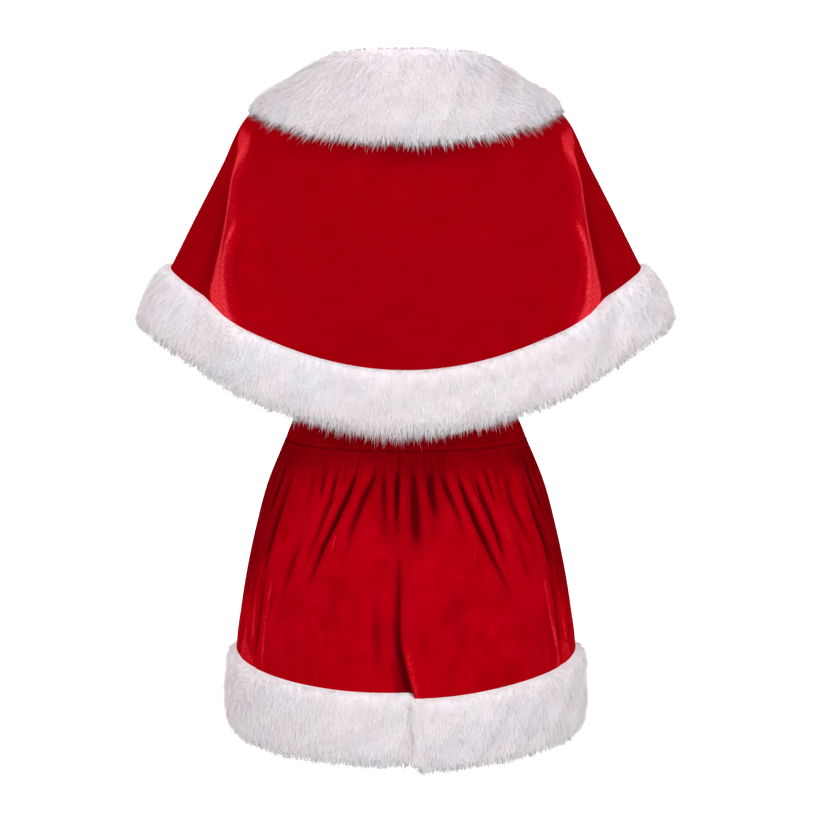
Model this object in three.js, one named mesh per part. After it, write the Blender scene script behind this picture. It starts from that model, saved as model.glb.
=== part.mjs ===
// A two-piece velvet costume with fur trim: a short shoulder cape and a gathered mini skirt, both
// filled out as when worn. Millimetres, +Z up. The origin is in the middle of the neck opening, where
// the wearer's neck meets the shoulders. The back of the costume faces -Y.
import * as THREE from "three";

// Driving sizes
const velvetWall = 1.6;
const seamGap = 0.3;
const collarWidth = 100;
const neckStand = 12;
const capeTrimWidth = 78;
const skirtTrimWidth = 80;
const casingWall = 3.4;

// Numbers of steps: columns run round the wearer, rows run from the top edge to the hem
const capePanelColumns = 36;
const capePanelRows = 10;
const skirtBackColumns = 96;
const skirtFrontColumns = 72;
const skirtPanelRows = 8;
const trimColumnShare = 0.5;

// The cape's sections, from the neck down. wide, back and front are the distances of the side, the
// middle of the back and the middle of the front from the axis, and side, rear and fore are their
// heights. square is 2 for an oval and more for fuller corners. droop bends the height between side
// and middle: a low value falls away near the side, and a high one near the middle.
const capeSections = [
  {
    name: "neck stand", wide: 74, back: 55, front: 61,
    side: 18, rear: 26, fore: -26, square: 2, droop: 0.6,
  },
  {
    name: "neck edge", wide: 81, back: 60, front: 68,
    side: 8, rear: 14, fore: -37, square: 2, droop: 0.6,
  },
  {
    name: "mid collar", wide: 121, back: 91, front: 101,
    side: -18, rear: -30, fore: -72, square: 2.1, droop: 0.6,
  },
  {
    name: "collar edge", wide: 167, back: 114, front: 128,
    side: -45, rear: -80, fore: -112, square: 2.2, droop: 0.7,
  },
  {
    name: "blades", wide: 194, back: 126, front: 145,
    side: -95, rear: -153, fore: -174, square: 2.3, droop: 0.8,
  },
  {
    name: "upper arms", wide: 222, back: 134, front: 152,
    side: -149, rear: -227, fore: -237, square: 2.4, droop: 0.9,
  },
  {
    name: "hem seam", wide: 250, back: 139, front: 156,
    side: -204, rear: -301, fore: -300, square: 2.45, droop: 1,
  },
  {
    name: "trim edge", wide: 283, back: 144, front: 160,
    side: -266, rear: -379, fore: -378, square: 2.45, droop: 1.15,
  },
];
const neckEdge = 1;
const collarEdge = 3;
const capeSeam = 6;

// The skirt's sections, in the same columns
const skirtSections = [
  {
    name: "casing top", wide: 113, back: 88, front: 88,
    side: -353, rear: -353, fore: -353, square: 2, droop: 1,
  },
  {
    name: "casing end", wide: 130, back: 100, front: 98,
    side: -391, rear: -391, fore: -391, square: 2, droop: 1,
  },
  {
    name: "upper hip", wide: 149, back: 121, front: 115,
    side: -438, rear: -439, fore: -439, square: 2.1, droop: 0.6,
  },
  {
    name: "hip", wide: 162, back: 136, front: 128,
    side: -486, rear: -490, fore: -490, square: 2.1, droop: 0.6,
  },
  {
    name: "seat", wide: 172, back: 145, front: 137,
    side: -532, rear: -541, fore: -540, square: 2.1, droop: 0.6,
  },
  {
    name: "thigh", wide: 179, back: 150, front: 143,
    side: -575, rear: -588, fore: -587, square: 2.1, droop: 0.6,
  },
  {
    name: "hem seam", wide: 184, back: 154, front: 148,
    side: -616, rear: -635, fore: -633, square: 2.1, droop: 0.6,
  },
  {
    name: "trim edge", wide: 187, back: 158, front: 152,
    side: -706, rear: -714, fore: -713, square: 2.1, droop: 0.45,
  },
];
const casingEnd = 1;
const skirtSeam = 6;

// Soft folds that fall over the arms: turns are degrees round from the middle of the back, at the
// collar and at the hem, rise is how far the cloth stands out, spread is half the fold's width, and
// start and end are the sections between which the fold grows.
const capeFolds = [
  { from: 70, to: 38, rise: 9, spread: 6.5, start: 3.1, end: 4.4 },
  { from: 84, to: 55, rise: -6, spread: 9, start: 3.4, end: 5.0 },
  { from: -70, to: -38, rise: 9, spread: 6.5, start: 3.1, end: 4.4 },
  { from: -84, to: -55, rise: -6, spread: 9, start: 3.4, end: 5.0 },
  { from: 8, to: 6, rise: -2, spread: 16, start: 4.0, end: 6.0 },
  { from: -34, to: -30, rise: 1.5, spread: 9, start: 4.2, end: 6.0 },
  { from: 108, to: 132, rise: 7, spread: 9, start: 3.2, end: 4.8 },
  { from: -108, to: -132, rise: 7, spread: 9, start: 3.2, end: 4.8 },
  { from: 180, to: 180, rise: -2, spread: 18, start: 4.0, end: 6.0 },
];

// Gathers of the skirt's back: the turn of each valley at the casing, how deep it is, half its
// width in degrees, the section where it is deepest and the section where it has faded out
const backGathers = [
  { turn: -82, depth: 4.0, spread: 1.9, deepest: 3.5, gone: 6.6 },
  { turn: -74, depth: 5.0, spread: 1.9, deepest: 3.2, gone: 6.6 },
  { turn: -64, depth: 6.0, spread: 2.2, deepest: 2.6, gone: 5.6 },
  { turn: -56, depth: 3.0, spread: 1.8, deepest: 2.0, gone: 4.2 },
  { turn: -48, depth: 6.5, spread: 2.3, deepest: 2.2, gone: 5.0 },
  { turn: -37, depth: 5.0, spread: 1.9, deepest: 1.6, gone: 2.8 },
  { turn: -29, depth: 6.0, spread: 1.8, deepest: 2.3, gone: 5.2 },
  { turn: -21.5, depth: 8.0, spread: 1.9, deepest: 2.4, gone: 5.0 },
  { turn: -15, depth: 6.0, spread: 1.9, deepest: 2.2, gone: 3.9 },
  { turn: -8.5, depth: 5.5, spread: 1.7, deepest: 2.0, gone: 3.7 },
  { turn: -3.2, depth: 7.0, spread: 1.5, deepest: 2.0, gone: 3.6 },
  { turn: 3.8, depth: 7.5, spread: 1.7, deepest: 2.2, gone: 3.9 },
  { turn: 10.5, depth: 8.0, spread: 1.7, deepest: 1.9, gone: 3.3 },
  { turn: 16, depth: 6.0, spread: 1.7, deepest: 2.2, gone: 4.2 },
  { turn: 22, depth: 8.0, spread: 1.9, deepest: 2.4, gone: 5.4 },
  { turn: 29, depth: 6.5, spread: 1.8, deepest: 2.3, gone: 5.2 },
  { turn: 37, depth: 5.0, spread: 1.8, deepest: 1.7, gone: 2.8 },
  { turn: 48, depth: 6.5, spread: 2.3, deepest: 2.0, gone: 4.8 },
  { turn: 56, depth: 3.0, spread: 1.8, deepest: 2.0, gone: 4.4 },
  { turn: 64, depth: 5.5, spread: 2.2, deepest: 2.8, gone: 5.6 },
  { turn: 73, depth: 5.0, spread: 1.9, deepest: 3.2, gone: 6.6 },
  { turn: 82, depth: 4.0, spread: 1.9, deepest: 3.5, gone: 6.6 },
];

// The front is plainer: even gathers, whose depth varies a little from one to the next
const frontGatherPitch = 9;
const frontGathers = [];
for (let turn = 99; turn <= 261; turn += frontGatherPitch) {
  const uneven = Math.sin(turn * 1.7);
  frontGathers.push({ turn, depth: 5 + 1.4 * uneven, spread: 2.2, deepest: 2.2, gone: 4.8 + 0.6 * uneven });
}
const gathers = [...backGathers, ...frontGathers];
// A gather has this share of its depth inside the casing
const casingShare = 0.4;

// The fold at the middle of the skirt's back: its right-hand side lies over its left-hand side
const tuck = { depth: 8, reach: 15, start: 3.4, full: 5.6, drift: 2.8, driftReach: 11 };
// The gathers fan out: those between the middle and the side drift outwards as they fall
const fan = { drift: 13, start: 1.2, full: 4.6 };

const degrees = Math.PI / 180;

// 0 up to start, 1 from end on, smooth between
function ramp(value, start, end) {
  return THREE.MathUtils.smoothstep(value, start, end);
}

function bell(distance, spread) {
  return Math.exp(-0.5 * (distance / spread) ** 2);
}

// A named column of a table of sections at a place between two rows, on a Catmull-Rom curve
function column(sections, name, at) {
  const last = sections.length - 1;
  const row = THREE.MathUtils.clamp(Math.floor(at), 0, last - 1);
  const value = (k) => sections[THREE.MathUtils.clamp(k, 0, last)][name];
  const [a, b, c, d] = [row - 1, row, row + 1, row + 2].map(value);
  const t = at - row;
  return b + 0.5 * t * (c - a + t * (2 * a - 5 * b + 4 * c - d + t * (3 * (b - c) + d - a)));
}

// The smooth form without folds. turn is in degrees from the middle of the back, towards +X.
function formPoint(sections, turn, at) {
  const get = (name) => column(sections, name, at);
  const [sine, cosine] = [Math.sin(turn * degrees), Math.cos(turn * degrees)];
  const atBack = cosine > 0;
  const power = 2 / get("square");
  const across = Math.sign(sine) * Math.abs(sine) ** power;
  const along = Math.abs(cosine) ** power;
  const level = Math.max(1 - across * across, 0) ** get("droop");
  const [side, end] = [get("side"), get(atBack ? "rear" : "fore")];
  const y = along * (atBack ? -get("back") : get("front"));
  return new THREE.Vector3(get("wide") * across, y, side + (end - side) * level);
}

// The outward normal of any surface given as a function of turn and section
function normalOf(surface, turn, at) {
  const [turnStep, atStep] = [0.4, 0.03];
  const round = surface(turn + turnStep, at).sub(surface(turn - turnStep, at));
  const down = surface(turn, at + atStep).sub(surface(turn, at - atStep));
  return down.cross(round).normalize();
}

// The difference between two turns, from -180 to 180 degrees
function turnFrom(turn, centre) {
  return THREE.MathUtils.euclideanModulo(turn - centre + 180, 360) - 180;
}

// How far the cape stands off its smooth form
function capeRelief(turn, at) {
  let relief = 0;
  for (const fold of capeFolds) {
    const centre = THREE.MathUtils.mapLinear(at, collarEdge, capeSeam, fold.from, fold.to);
    const strength = ramp(at, fold.start, fold.end);
    relief += fold.rise * strength * bell(turnFrom(turn, centre), fold.spread);
  }
  return relief;
}

// How far the skirt's cloth lies in from its smooth form. column is the turn at the casing.
function skirtRelief(columnTurn, at) {
  let relief = 0;
  for (const gather of gathers) {
    const grown = THREE.MathUtils.lerp(casingShare, 1, ramp(at, casingEnd, gather.deepest));
    const left = 1 - ramp(at, gather.deepest, gather.gone);
    relief -= gather.depth * grown * left * bell(turnFrom(columnTurn, gather.turn), gather.spread);
  }
  const ahead = turnFrom(columnTurn, 0);
  const under = ahead < 0 && ahead > -tuck.reach ? (1 + ahead / tuck.reach) ** 1.6 : 0;
  return relief - tuck.depth * under * ramp(at, tuck.start, tuck.full);
}

// The turn that a column of the skirt has reached at a section
function skirtTurn(columnTurn, at) {
  const outward = fan.drift * Math.sin(2 * columnTurn * degrees) * ramp(at, fan.start, fan.full);
  const grown = ramp(at, tuck.start, skirtSeam);
  const across = tuck.drift * bell(turnFrom(columnTurn, 0), tuck.driftReach) * grown;
  return columnTurn + outward + across;
}

const capeForm = (turn, at) => formPoint(capeSections, turn, at);
const skirtForm = (columnTurn, at) => formPoint(skirtSections, skirtTurn(columnTurn, at), at);

// A surface with its relief added level with the ground, square to its smooth form
function folded(form, relief) {
  return (turn, at) => {
    const outward = normalOf(form, turn, at).setZ(0).normalize();
    return form(turn, at).addScaledVector(outward, relief(turn, at));
  };
}

// Thick fur evens the folds out, so a trim follows less of the relief towards its lower edge
function trimRelief(relief, seam, kept) {
  return (turn, at) => relief(turn, at) * THREE.MathUtils.lerp(1, kept, ramp(at, seam, seam + 1));
}

// Walls are built up square to the cape's slope, and level with the ground on the steep skirt
const capeCloth = { point: folded(capeForm, capeRelief), levelWall: false };
const skirtCloth = { point: folded(skirtForm, skirtRelief), levelWall: true };
const capeTrimBase = { point: folded(capeForm, trimRelief(capeRelief, capeSeam, 0.7)), levelWall: false };
const skirtTrimBase = { point: folded(skirtForm, trimRelief(skirtRelief, skirtSeam, 0.5)), levelWall: true };

// A place on a surface, moved outwards
function lifted(surface, turn, at, lift) {
  const outward = normalOf(surface.point, turn, at);
  if (surface.levelWall) outward.setZ(0).normalize();
  return surface.point(turn, at).addScaledVector(outward, lift);
}

// Joins columns of points, each a closed loop, into one closed body. Without wrap its two ends are
// closed by joining each point of the loop to the one opposite.
function bodyFromLoops(loops, wrap) {
  const size = loops[0].length;
  const points = loops.flat();
  const indices = [];
  // Each four-sided face is split along its shorter diagonal
  const quad = (a, b, c, d) => {
    const straight = points[a].distanceTo(points[c]) < points[b].distanceTo(points[d]);
    indices.push(...(straight ? [a, b, c, a, c, d] : [a, b, d, b, c, d]));
  };
  const joints = wrap ? loops.length : loops.length - 1;
  for (let i = 0; i < joints; i++) {
    const [here, next] = [i * size, ((i + 1) % loops.length) * size];
    for (let k = 0; k < size; k++) {
      const after = (k + 1) % size;
      quad(here + k, here + after, next + after, next + k);
    }
  }
  if (!wrap) {
    const end = (loops.length - 1) * size;
    for (let k = 0; k < size / 2 - 1; k++) {
      const opposite = size - 1 - k;
      quad(opposite, opposite - 1, k + 1, k);
      quad(end + k, end + k + 1, end + opposite - 1, end + opposite);
    }
  }
  const geometry = new THREE.BufferGeometry();
  geometry.setFromPoints(points);
  geometry.setIndex(indices);
  geometry.computeVertexNormals();
  return geometry;
}

// The turn at which a panel ends, so that two panels meet at the side with the seam's gap
function seamTurn(sections, at, depthName) {
  const depth = column(sections, depthName, at);
  const cosine = (seamGap / 2 / depth) ** (column(sections, "square", at) / 2);
  return Math.acos(cosine) / degrees;
}

// A cloth panel that covers the back or the front half, from one side seam to the other
function panel(surface, sections, { front, columns, rows, top, bottom }) {
  const loops = [];
  for (let i = 0; i <= columns; i++) {
    const share = (2 * i) / columns - 1;
    const [outer, inner] = [[], []];
    for (let k = 0; k <= rows; k++) {
      const at = THREE.MathUtils.lerp(top, bottom, k / rows);
      const turn = (front ? 180 : 0) + share * seamTurn(sections, at, front ? "front" : "back");
      outer.push(lifted(surface, turn, at, 0));
      inner.push(lifted(surface, turn, at, -velvetWall));
    }
    loops.push([...outer, ...inner.reverse()]);
  }
  return bodyFromLoops(loops, false);
}

// The turns of a ring's columns, which fall on those of the back and front panels beside it
function ringTurns(backColumns, frontColumns) {
  const half = (columns, middle) =>
    Array.from({ length: columns }, (_, i) => middle - 90 + (180 * i) / columns);
  return [...half(backColumns, 0), ...half(frontColumns, 180)];
}

// A band all round, swept along a profile of places down the band and lifts off the surface
function band(surface, turns, profile, atOf) {
  const loop = (turn) => profile.map(({ down, lift }) => lifted(surface, turn, atOf(down), lift));
  return bodyFromLoops(turns.map(loop), true);
}

// Profiles of the fur, from the outside of its top edge round to its inside
const collarProfile = [
  { down: -9, lift: 3 },
  { down: -7, lift: 11 },
  { down: 8, lift: 15 },
  { down: 32, lift: 16 },
  { down: 60, lift: 15 },
  { down: 84, lift: 13 },
  { down: 98, lift: 7 },
  { down: 100, lift: seamGap },
  { down: 75, lift: seamGap },
  { down: 50, lift: seamGap },
  { down: 25, lift: seamGap },
  { down: 0, lift: seamGap },
  { down: -seamGap, lift: -3 },
  { down: -6, lift: -3 },
];
const trimProfile = [
  { down: seamGap, lift: 0.5 },
  { down: 5, lift: 9 },
  { down: 18, lift: 13 },
  { down: 42, lift: 14 },
  { down: 64, lift: 12 },
  { down: 76, lift: 7 },
  { down: 80, lift: 1 },
  { down: 75, lift: -3 },
  { down: 45, lift: -4 },
  { down: 12, lift: -4 },
  { down: seamGap, lift: -4 },
];
// The elastic casing stands a little proud between its top fold and its lower stitching
const casingProfile = [
  { down: 0, lift: 0 },
  { down: 12, lift: 1 },
  { down: 26, lift: 0.8 },
  { down: 38, lift: -0.4 },
  { down: 38, lift: -2 },
  { down: 20, lift: -casingWall },
  { down: 1, lift: -2.4 },
];

const casingHeight = skirtSections[0].side - skirtSections[casingEnd].side;
const collarAt = (down) => {
  const span = down < 0 ? neckStand : collarWidth / (collarEdge - neckEdge);
  return neckEdge + down / span;
};
const capeTrimAt = (down) => capeSeam + down / capeTrimWidth;
const skirtTrimAt = (down) => skirtSeam + down / skirtTrimWidth;
const casingAt = (down) => (down / casingHeight) * casingEnd;
const belowCasing = casingAt(casingHeight + seamGap);

const velvet = { color: 0xa6060c, roughness: 0.7, metalness: 0 };
const fur = { color: 0xe9e4e6, roughness: 1, metalness: 0 };

const costume = new THREE.Group();

function add(name, geometry, finish) {
  const mesh = new THREE.Mesh(geometry, new THREE.MeshStandardMaterial(finish));
  mesh.name = name;
  costume.add(mesh);
}

const capeRing = ringTurns(capePanelColumns, capePanelColumns);
const skirtRing = ringTurns(skirtBackColumns * trimColumnShare, skirtFrontColumns * trimColumnShare);
const capePanel = { rows: capePanelRows, columns: capePanelColumns, top: neckEdge, bottom: capeSeam };
const skirtPanel = { rows: skirtPanelRows, top: belowCasing, bottom: skirtSeam };
const skirtBack = { ...skirtPanel, front: false, columns: skirtBackColumns };
const skirtFront = { ...skirtPanel, front: true, columns: skirtFrontColumns };

add("cape_back", panel(capeCloth, capeSections, { ...capePanel, front: false }), velvet);
add("cape_front", panel(capeCloth, capeSections, { ...capePanel, front: true }), velvet);
add("collar", band(capeCloth, capeRing, collarProfile, collarAt), fur);
add("cape_trim", band(capeTrimBase, capeRing, trimProfile, capeTrimAt), fur);
add("waist_casing", band(skirtCloth, skirtRing, casingProfile, casingAt), velvet);
add("skirt_back", panel(skirtCloth, skirtSections, skirtBack), velvet);
add("skirt_front", panel(skirtCloth, skirtSections, skirtFront), velvet);
add("skirt_trim", band(skirtTrimBase, skirtRing, trimProfile, skirtTrimAt), fur);

export default costume;
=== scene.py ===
"""A costume set seen from behind: a red velvet shoulder cape with a fur collar and a fur hem, and a
gathered velvet mini skirt with an elastic casing and a fur hem. Both are hollow, as when worn.

The tables are in millimetres, in the row frame: X to the photo's right, Y away from its viewer and Z
up, from the middle of the neck opening. A turn is in degrees from the middle of the back towards +X.
"""

import logging
import math
from abc import ABC, abstractmethod
from collections.abc import Callable, Sequence
from dataclasses import dataclass
from enum import Enum
from functools import cached_property

import bpy
import numpy as np
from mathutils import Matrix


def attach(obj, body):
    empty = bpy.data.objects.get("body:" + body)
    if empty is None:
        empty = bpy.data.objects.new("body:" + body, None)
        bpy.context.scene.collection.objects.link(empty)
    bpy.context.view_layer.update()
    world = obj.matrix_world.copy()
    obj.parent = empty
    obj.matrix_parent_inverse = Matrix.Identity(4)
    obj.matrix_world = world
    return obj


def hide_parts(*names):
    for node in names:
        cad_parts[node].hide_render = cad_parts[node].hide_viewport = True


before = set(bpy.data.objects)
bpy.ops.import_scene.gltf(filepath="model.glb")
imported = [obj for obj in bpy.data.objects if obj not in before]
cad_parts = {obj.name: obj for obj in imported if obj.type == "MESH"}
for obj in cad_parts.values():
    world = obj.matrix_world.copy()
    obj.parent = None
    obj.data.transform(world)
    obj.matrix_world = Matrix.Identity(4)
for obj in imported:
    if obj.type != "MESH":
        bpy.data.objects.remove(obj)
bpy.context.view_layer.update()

Array = np.ndarray
Surface = Callable[[Array, Array], Array]
Triple = tuple[float, float, float]
Piece = bpy.types.Object
Material = bpy.types.Material
Socket = bpy.types.NodeSocket

log = logging.getLogger("costume")

MM = 0.001
BODY = "root"

# The sections of each garment where an edge or a seam lies
NECK_EDGE, COLLAR_EDGE, CAPE_SEAM = 1, 3, 6
CASING_END, SKIRT_SEAM = 1, 6

# From this share on, a grid's column or row is its last
LAST_SHARE = 0.9999

# How round a profile's curve is between its points, from 0 to 1, and how many points it gets
ROUNDNESS = 0.8
PROFILE_POINTS = 241

# How far a crease starts before its line and ends after it, and how much narrower its core is
CREASE_LEAD, CREASE_TAIL, CREASE_CORE = 0.25, 0.1, 3.0

# Where the painted light looks for higher cloth around it, in degrees, and how fast its painted highlight
# answers to ridges and its painted shade to hollows
PAINTED_LIGHT_STEPS = (-3.6, -1.8, 1.8, 3.6)
RIDGE_SCALE = 2.4
HOLLOW_POWER = 1.5


# Small curves and helpers


def ramp(value: Array, start: float, end: float) -> Array:
    """Rise smoothly from 0 at start to 1 at end."""
    share = np.clip((value - start) / (end - start), 0.0, 1.0)
    return share * share * (3.0 - 2.0 * share)


def bell(distance: Array, spread: float | Array) -> Array:
    """Give a bell curve that is 1 in its middle, where spread is its standard deviation."""
    return np.exp(-0.5 * (distance / spread) ** 2)


def turn_from(turn: Array, centre: float | Array) -> Array:
    """Give the way round from a centre to a turn, from -180 to 180 degrees."""
    return np.mod(turn - centre + 180.0, 360.0) - 180.0


def unit(vectors: Array) -> Array:
    """Scale vectors to a length of 1."""
    length = np.linalg.norm(vectors, axis=-1, keepdims=True)
    return vectors / np.maximum(length, 1e-9)


def level(vectors: Array) -> Array:
    """Flatten vectors to the horizontal and scale them to a length of 1."""
    flat = vectors.copy()
    flat[..., 2] = 0.0
    return unit(flat)


def swell(places: Array, size: float, seed: float) -> Array:
    """Give a soft irregular field between about -1 and 1.

    Args:
        places: Points in millimetres, the last axis X, Y and Z.
        size: The distance from one swelling to the next, in millimetres.
        seed: Shifts the field, so that two layers differ.

    Returns:
        The field's value at each point.
    """
    scale = 2.0 * math.pi / size
    x, y, z = (places[..., k] * scale for k in range(3))
    first = np.sin(0.9 * x + 0.5 * y + seed) * np.cos(0.8 * z - 0.3 * x + 1.7 * seed)
    second = np.sin(1.3 * z + 0.7 * y - 0.4 * x + 2.3 * seed)
    third = np.cos(1.1 * x - 0.9 * z + 0.6 * y + 0.9 * seed)
    return (first + 0.6 * second + 0.6 * third) / 1.6


def bend(a: Array, b: Array, c: Array, d: Array, t: Array) -> Array:
    """Give the slope term of a Catmull-Rom curve from b to c, whose neighbours are a and d."""
    return c - a + t * (2 * a - 5 * b + 4 * c - d + t * (3 * (b - c) + d - a))


def way_along(points: Array) -> Array:
    """Give how far along a line each of its points lies."""
    return np.concatenate([[0.0], np.cumsum(np.linalg.norm(np.diff(points, axis=0), axis=1))])


# The forms


class Half(Enum):
    """The two halves of a garment, each with the turn of its middle."""

    BACK = 0.0
    FRONT = 180.0


@dataclass(frozen=True)
class Section:
    """A level section of a garment.

    wide, back and front are the distances of the side, the middle of the back and the middle of the
    front from the axis, and side, rear and fore are their heights. square is 2 for an oval and more
    for fuller corners. droop bends the height between side and middle.
    """

    wide: float
    back: float
    front: float
    side: float
    rear: float
    fore: float
    square: float
    droop: float


@dataclass(frozen=True)
class Fold:
    """A soft fold that falls over an arm: its turn at the collar and at the hem, how far it stands
    out, half its width in degrees, and the sections between which it grows."""

    top: float
    hem: float
    rise: float
    spread: float
    start: float
    end: float


@dataclass(frozen=True)
class Gather:
    """A valley between two gathers: its turn at the casing, its depth, half its width in degrees,
    the section where it is deepest and the section where it has faded out."""

    turn: float
    depth: float
    spread: float
    deepest: float
    gone: float


@dataclass(frozen=True)
class Crease:
    """A trough or, with a negative depth, a ridge that follows a line of its own.

    line holds pairs of section and turn from its top to its end. depth is in millimetres, spread in
    degrees, and deepest is how far down its length it is deepest. keen is the share of the depth
    that is in a core of a third of the width.
    """

    line: tuple[tuple[float, float], ...]
    depth: float
    spread: float
    deepest: float = 0.35
    keen: float = 0.3

    def relief(self, turn: Array, at: Array) -> Array:
        """Say how far the crease moves the cloth outwards.

        Args:
            turn: The turns of the places.
            at: Their sections.

        Returns:
            Millimetres outwards, below zero in a trough.
        """
        tops, turns = (np.array(column) for column in zip(*self.line))
        centre = np.interp(at, tops, turns)
        most = tops[0] + self.deepest * (tops[-1] - tops[0])
        strength = ramp(at, tops[0] - CREASE_LEAD, most) * (1.0 - ramp(at, most, tops[-1] + CREASE_TAIL))
        away = turn_from(turn, centre)
        core = bell(away, self.spread / CREASE_CORE)
        return -self.depth * strength * ((1.0 - self.keen) * bell(away, self.spread) + self.keen * core)


@dataclass(frozen=True)
class PaintedLightStroke:
    """A stroke of painted light: a painted highlight, or below 0 a painted shade or shadow.

    line holds triples of section, first turn and last turn. soft is how far its sides fade, in
    degrees, and fade how far its ends do, in sections.
    """

    line: tuple[Triple, ...]
    strength: float
    soft: float = 1.0
    fade: float = 0.2

    def tone(self, turn: Array, at: Array) -> Array:
        """Say how much painted light the stroke gives at some places.

        Args:
            turn: Their turns.
            at: Their sections.

        Returns:
            How much lighter it is painted, below 0 where it is painted darker as shade.
        """
        tops, firsts, lasts = (np.array(column) for column in zip(*self.line))
        away = turn_from(turn, 0.0)
        first, last = np.interp(at, tops, firsts), np.interp(at, tops, lasts)
        across = ramp(away, first - self.soft, first + self.soft)
        across = across * (1.0 - ramp(away, last - self.soft, last + self.soft))
        down = ramp(at, tops[0] - self.fade, tops[0] + self.fade)
        return self.strength * across * down * (1.0 - ramp(at, tops[-1] - self.fade, tops[-1] + self.fade))


class Form:
    """The smooth form of a garment, through a table of sections."""

    def __init__(self, sections: Sequence[Section]) -> None:
        """Keep the table, one array for each column."""
        names = Section.__dataclass_fields__
        self.table = {name: np.array([getattr(s, name) for s in sections]) for name in names}
        self.last = len(sections) - 1

    def value(self, name: str, at: Array) -> Array:
        """Read a column of the table between its rows, on a Catmull-Rom curve.

        Args:
            name: The column.
            at: The places, where 0 is the first row.

        Returns:
            The column's value at each place.
        """
        row = np.clip(np.floor(at), 0, self.last - 1).astype(int)
        rows = [np.clip(row + k, 0, self.last) for k in (-1, 0, 1, 2)]
        a, b, c, d = (self.table[name][r] for r in rows)
        t = at - row
        return b + 0.5 * t * bend(a, b, c, d, t)

    def point(self, turn: Array, at: Array) -> Array:
        """Give the points of the smooth form.

        Args:
            turn: Turns in degrees from the middle of the back.
            at: Places in the table of sections.

        Returns:
            Points in millimetres, with a last axis of 3.
        """
        angle = np.radians(turn)
        sine, cosine = np.sin(angle), np.cos(angle)
        at_back = cosine > 0
        power = 2.0 / self.value("square", at)
        across = np.sign(sine) * np.abs(sine) ** power
        along = np.abs(cosine) ** power
        flatness = np.maximum(1.0 - across * across, 0.0) ** self.value("droop", at)
        side = self.value("side", at)
        end = np.where(at_back, self.value("rear", at), self.value("fore", at))
        depth = np.where(at_back, -self.value("back", at), self.value("front", at))
        x = self.value("wide", at) * across
        return np.stack([x, along * depth, side + (end - side) * flatness], axis=-1)

    def seam_turn(self, at: Array, half: Half, gap: float) -> Array:
        """Give the turn at which a panel ends, so that two panels meet at the side with a gap."""
        depth = self.value("back" if half is Half.BACK else "front", at)
        cosine = (gap / 2.0 / depth) ** (self.value("square", at) / 2.0)
        return np.degrees(np.arccos(cosine))


def normal_of(surface: Surface, turn: Array, at: Array) -> Array:
    """Give the outward normals of a surface.

    Args:
        surface: The surface, as points for turns and sections.
        turn: The turns of the places.
        at: Their sections.

    Returns:
        Vectors of length 1.
    """
    turn_step, at_step = 0.4, 0.03
    around = surface(turn + turn_step, at) - surface(turn - turn_step, at)
    down = surface(turn, at + at_step) - surface(turn, at - at_step)
    return unit(np.cross(down, around))


class Cloth(ABC):
    """The cloth of one garment: a smooth form with its folds."""

    sections: tuple[Section, ...]
    level_wall: bool
    # The strokes of painted light, how fast painted shade fills the hollows, and how strong the painted
    # highlight on the ridges is
    brushes: tuple[PaintedLightStroke, ...]
    hollow_scale: float
    ridge_light: float

    @cached_property
    def form(self) -> Form:
        """Give the smooth form through the table of sections."""
        return Form(self.sections)

    @abstractmethod
    def smooth(self, turn: Array, at: Array) -> Array:
        """Give the points of the cloth before it folds."""

    @abstractmethod
    def relief(self, turn: Array, at: Array) -> Array:
        """Say how far the folds move the cloth outwards, in millimetres."""

    def point(self, turn: Array, at: Array) -> Array:
        """Give the points of the folded cloth, in millimetres."""
        outward = level(normal_of(self.smooth, turn, at))
        return self.smooth(turn, at) + outward * self.relief(turn, at)[..., None]

    def painted_light_and_shade(self, turn: Array, at: Array) -> Array:
        """Say how much painted light and shade the painted strokes give."""
        return sum((painted_light.tone(turn, at) for painted_light in self.brushes), np.zeros(np.broadcast(turn, at).shape))

    def nap_and_painted_light(self, turn: Array, at: Array) -> Array:
        """Give the painted light and shade: painted shade below 0 down in the creases, painted highlight
        above 0 on the ridges and in the painted strokes.

        Args:
            turn: The turns of the places.
            at: Their sections.

        Returns:
            Values from -1 to 1.
        """
        # Painted shade where the cloth lies lower than around it, in the creases, and painted highlight
        # where it stands higher, on the ridges
        around = [self.relief(turn + step, at) for step in PAINTED_LIGHT_STEPS]
        hollow = sum(around) / len(around) - self.relief(turn, at)
        shade = 1.0 - np.exp(-(np.maximum(hollow, 0.0) / self.hollow_scale) ** HOLLOW_POWER)
        light = 1.0 - np.exp(-np.maximum(-hollow, 0.0) / RIDGE_SCALE)
        return np.clip(self.ridge_light * light - shade + self.painted_light_and_shade(turn, at), -1.0, 1.0)

    def outward(self, turn: Array, at: Array) -> Array:
        """Give the way in which the cloth's thickness is measured."""
        normal = normal_of(self.point, turn, at)
        return level(normal) if self.level_wall else normal

    def lifted(self, turn: Array, at: Array, lift: Array) -> Array:
        """Give points at a distance above the cloth, in millimetres."""
        return self.point(turn, at) + self.outward(turn, at) * lift[..., None]


def mirrored(creases: Sequence[Crease], sway: float) -> tuple[Crease, ...]:
    """Repeat creases on the other side, each shifted a little.

    Args:
        creases: The creases of one side.
        sway: How many degrees a crease shifts at most.

    Returns:
        The creases of the other side.
    """
    made = []
    for k, crease in enumerate(creases):
        shift = sway * math.sin(3.1 * k + 1.0)
        line = tuple((at, shift - turn) for at, turn in crease.line)
        deepest = min(crease.deepest * (1.0 + 0.2 * math.sin(2.3 * k)), 0.9)
        made.append(Crease(line, crease.depth * (1.0 + 0.12 * math.cos(2.7 * k)), crease.spread,
                           deepest, crease.keen))
    return tuple(made)


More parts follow.
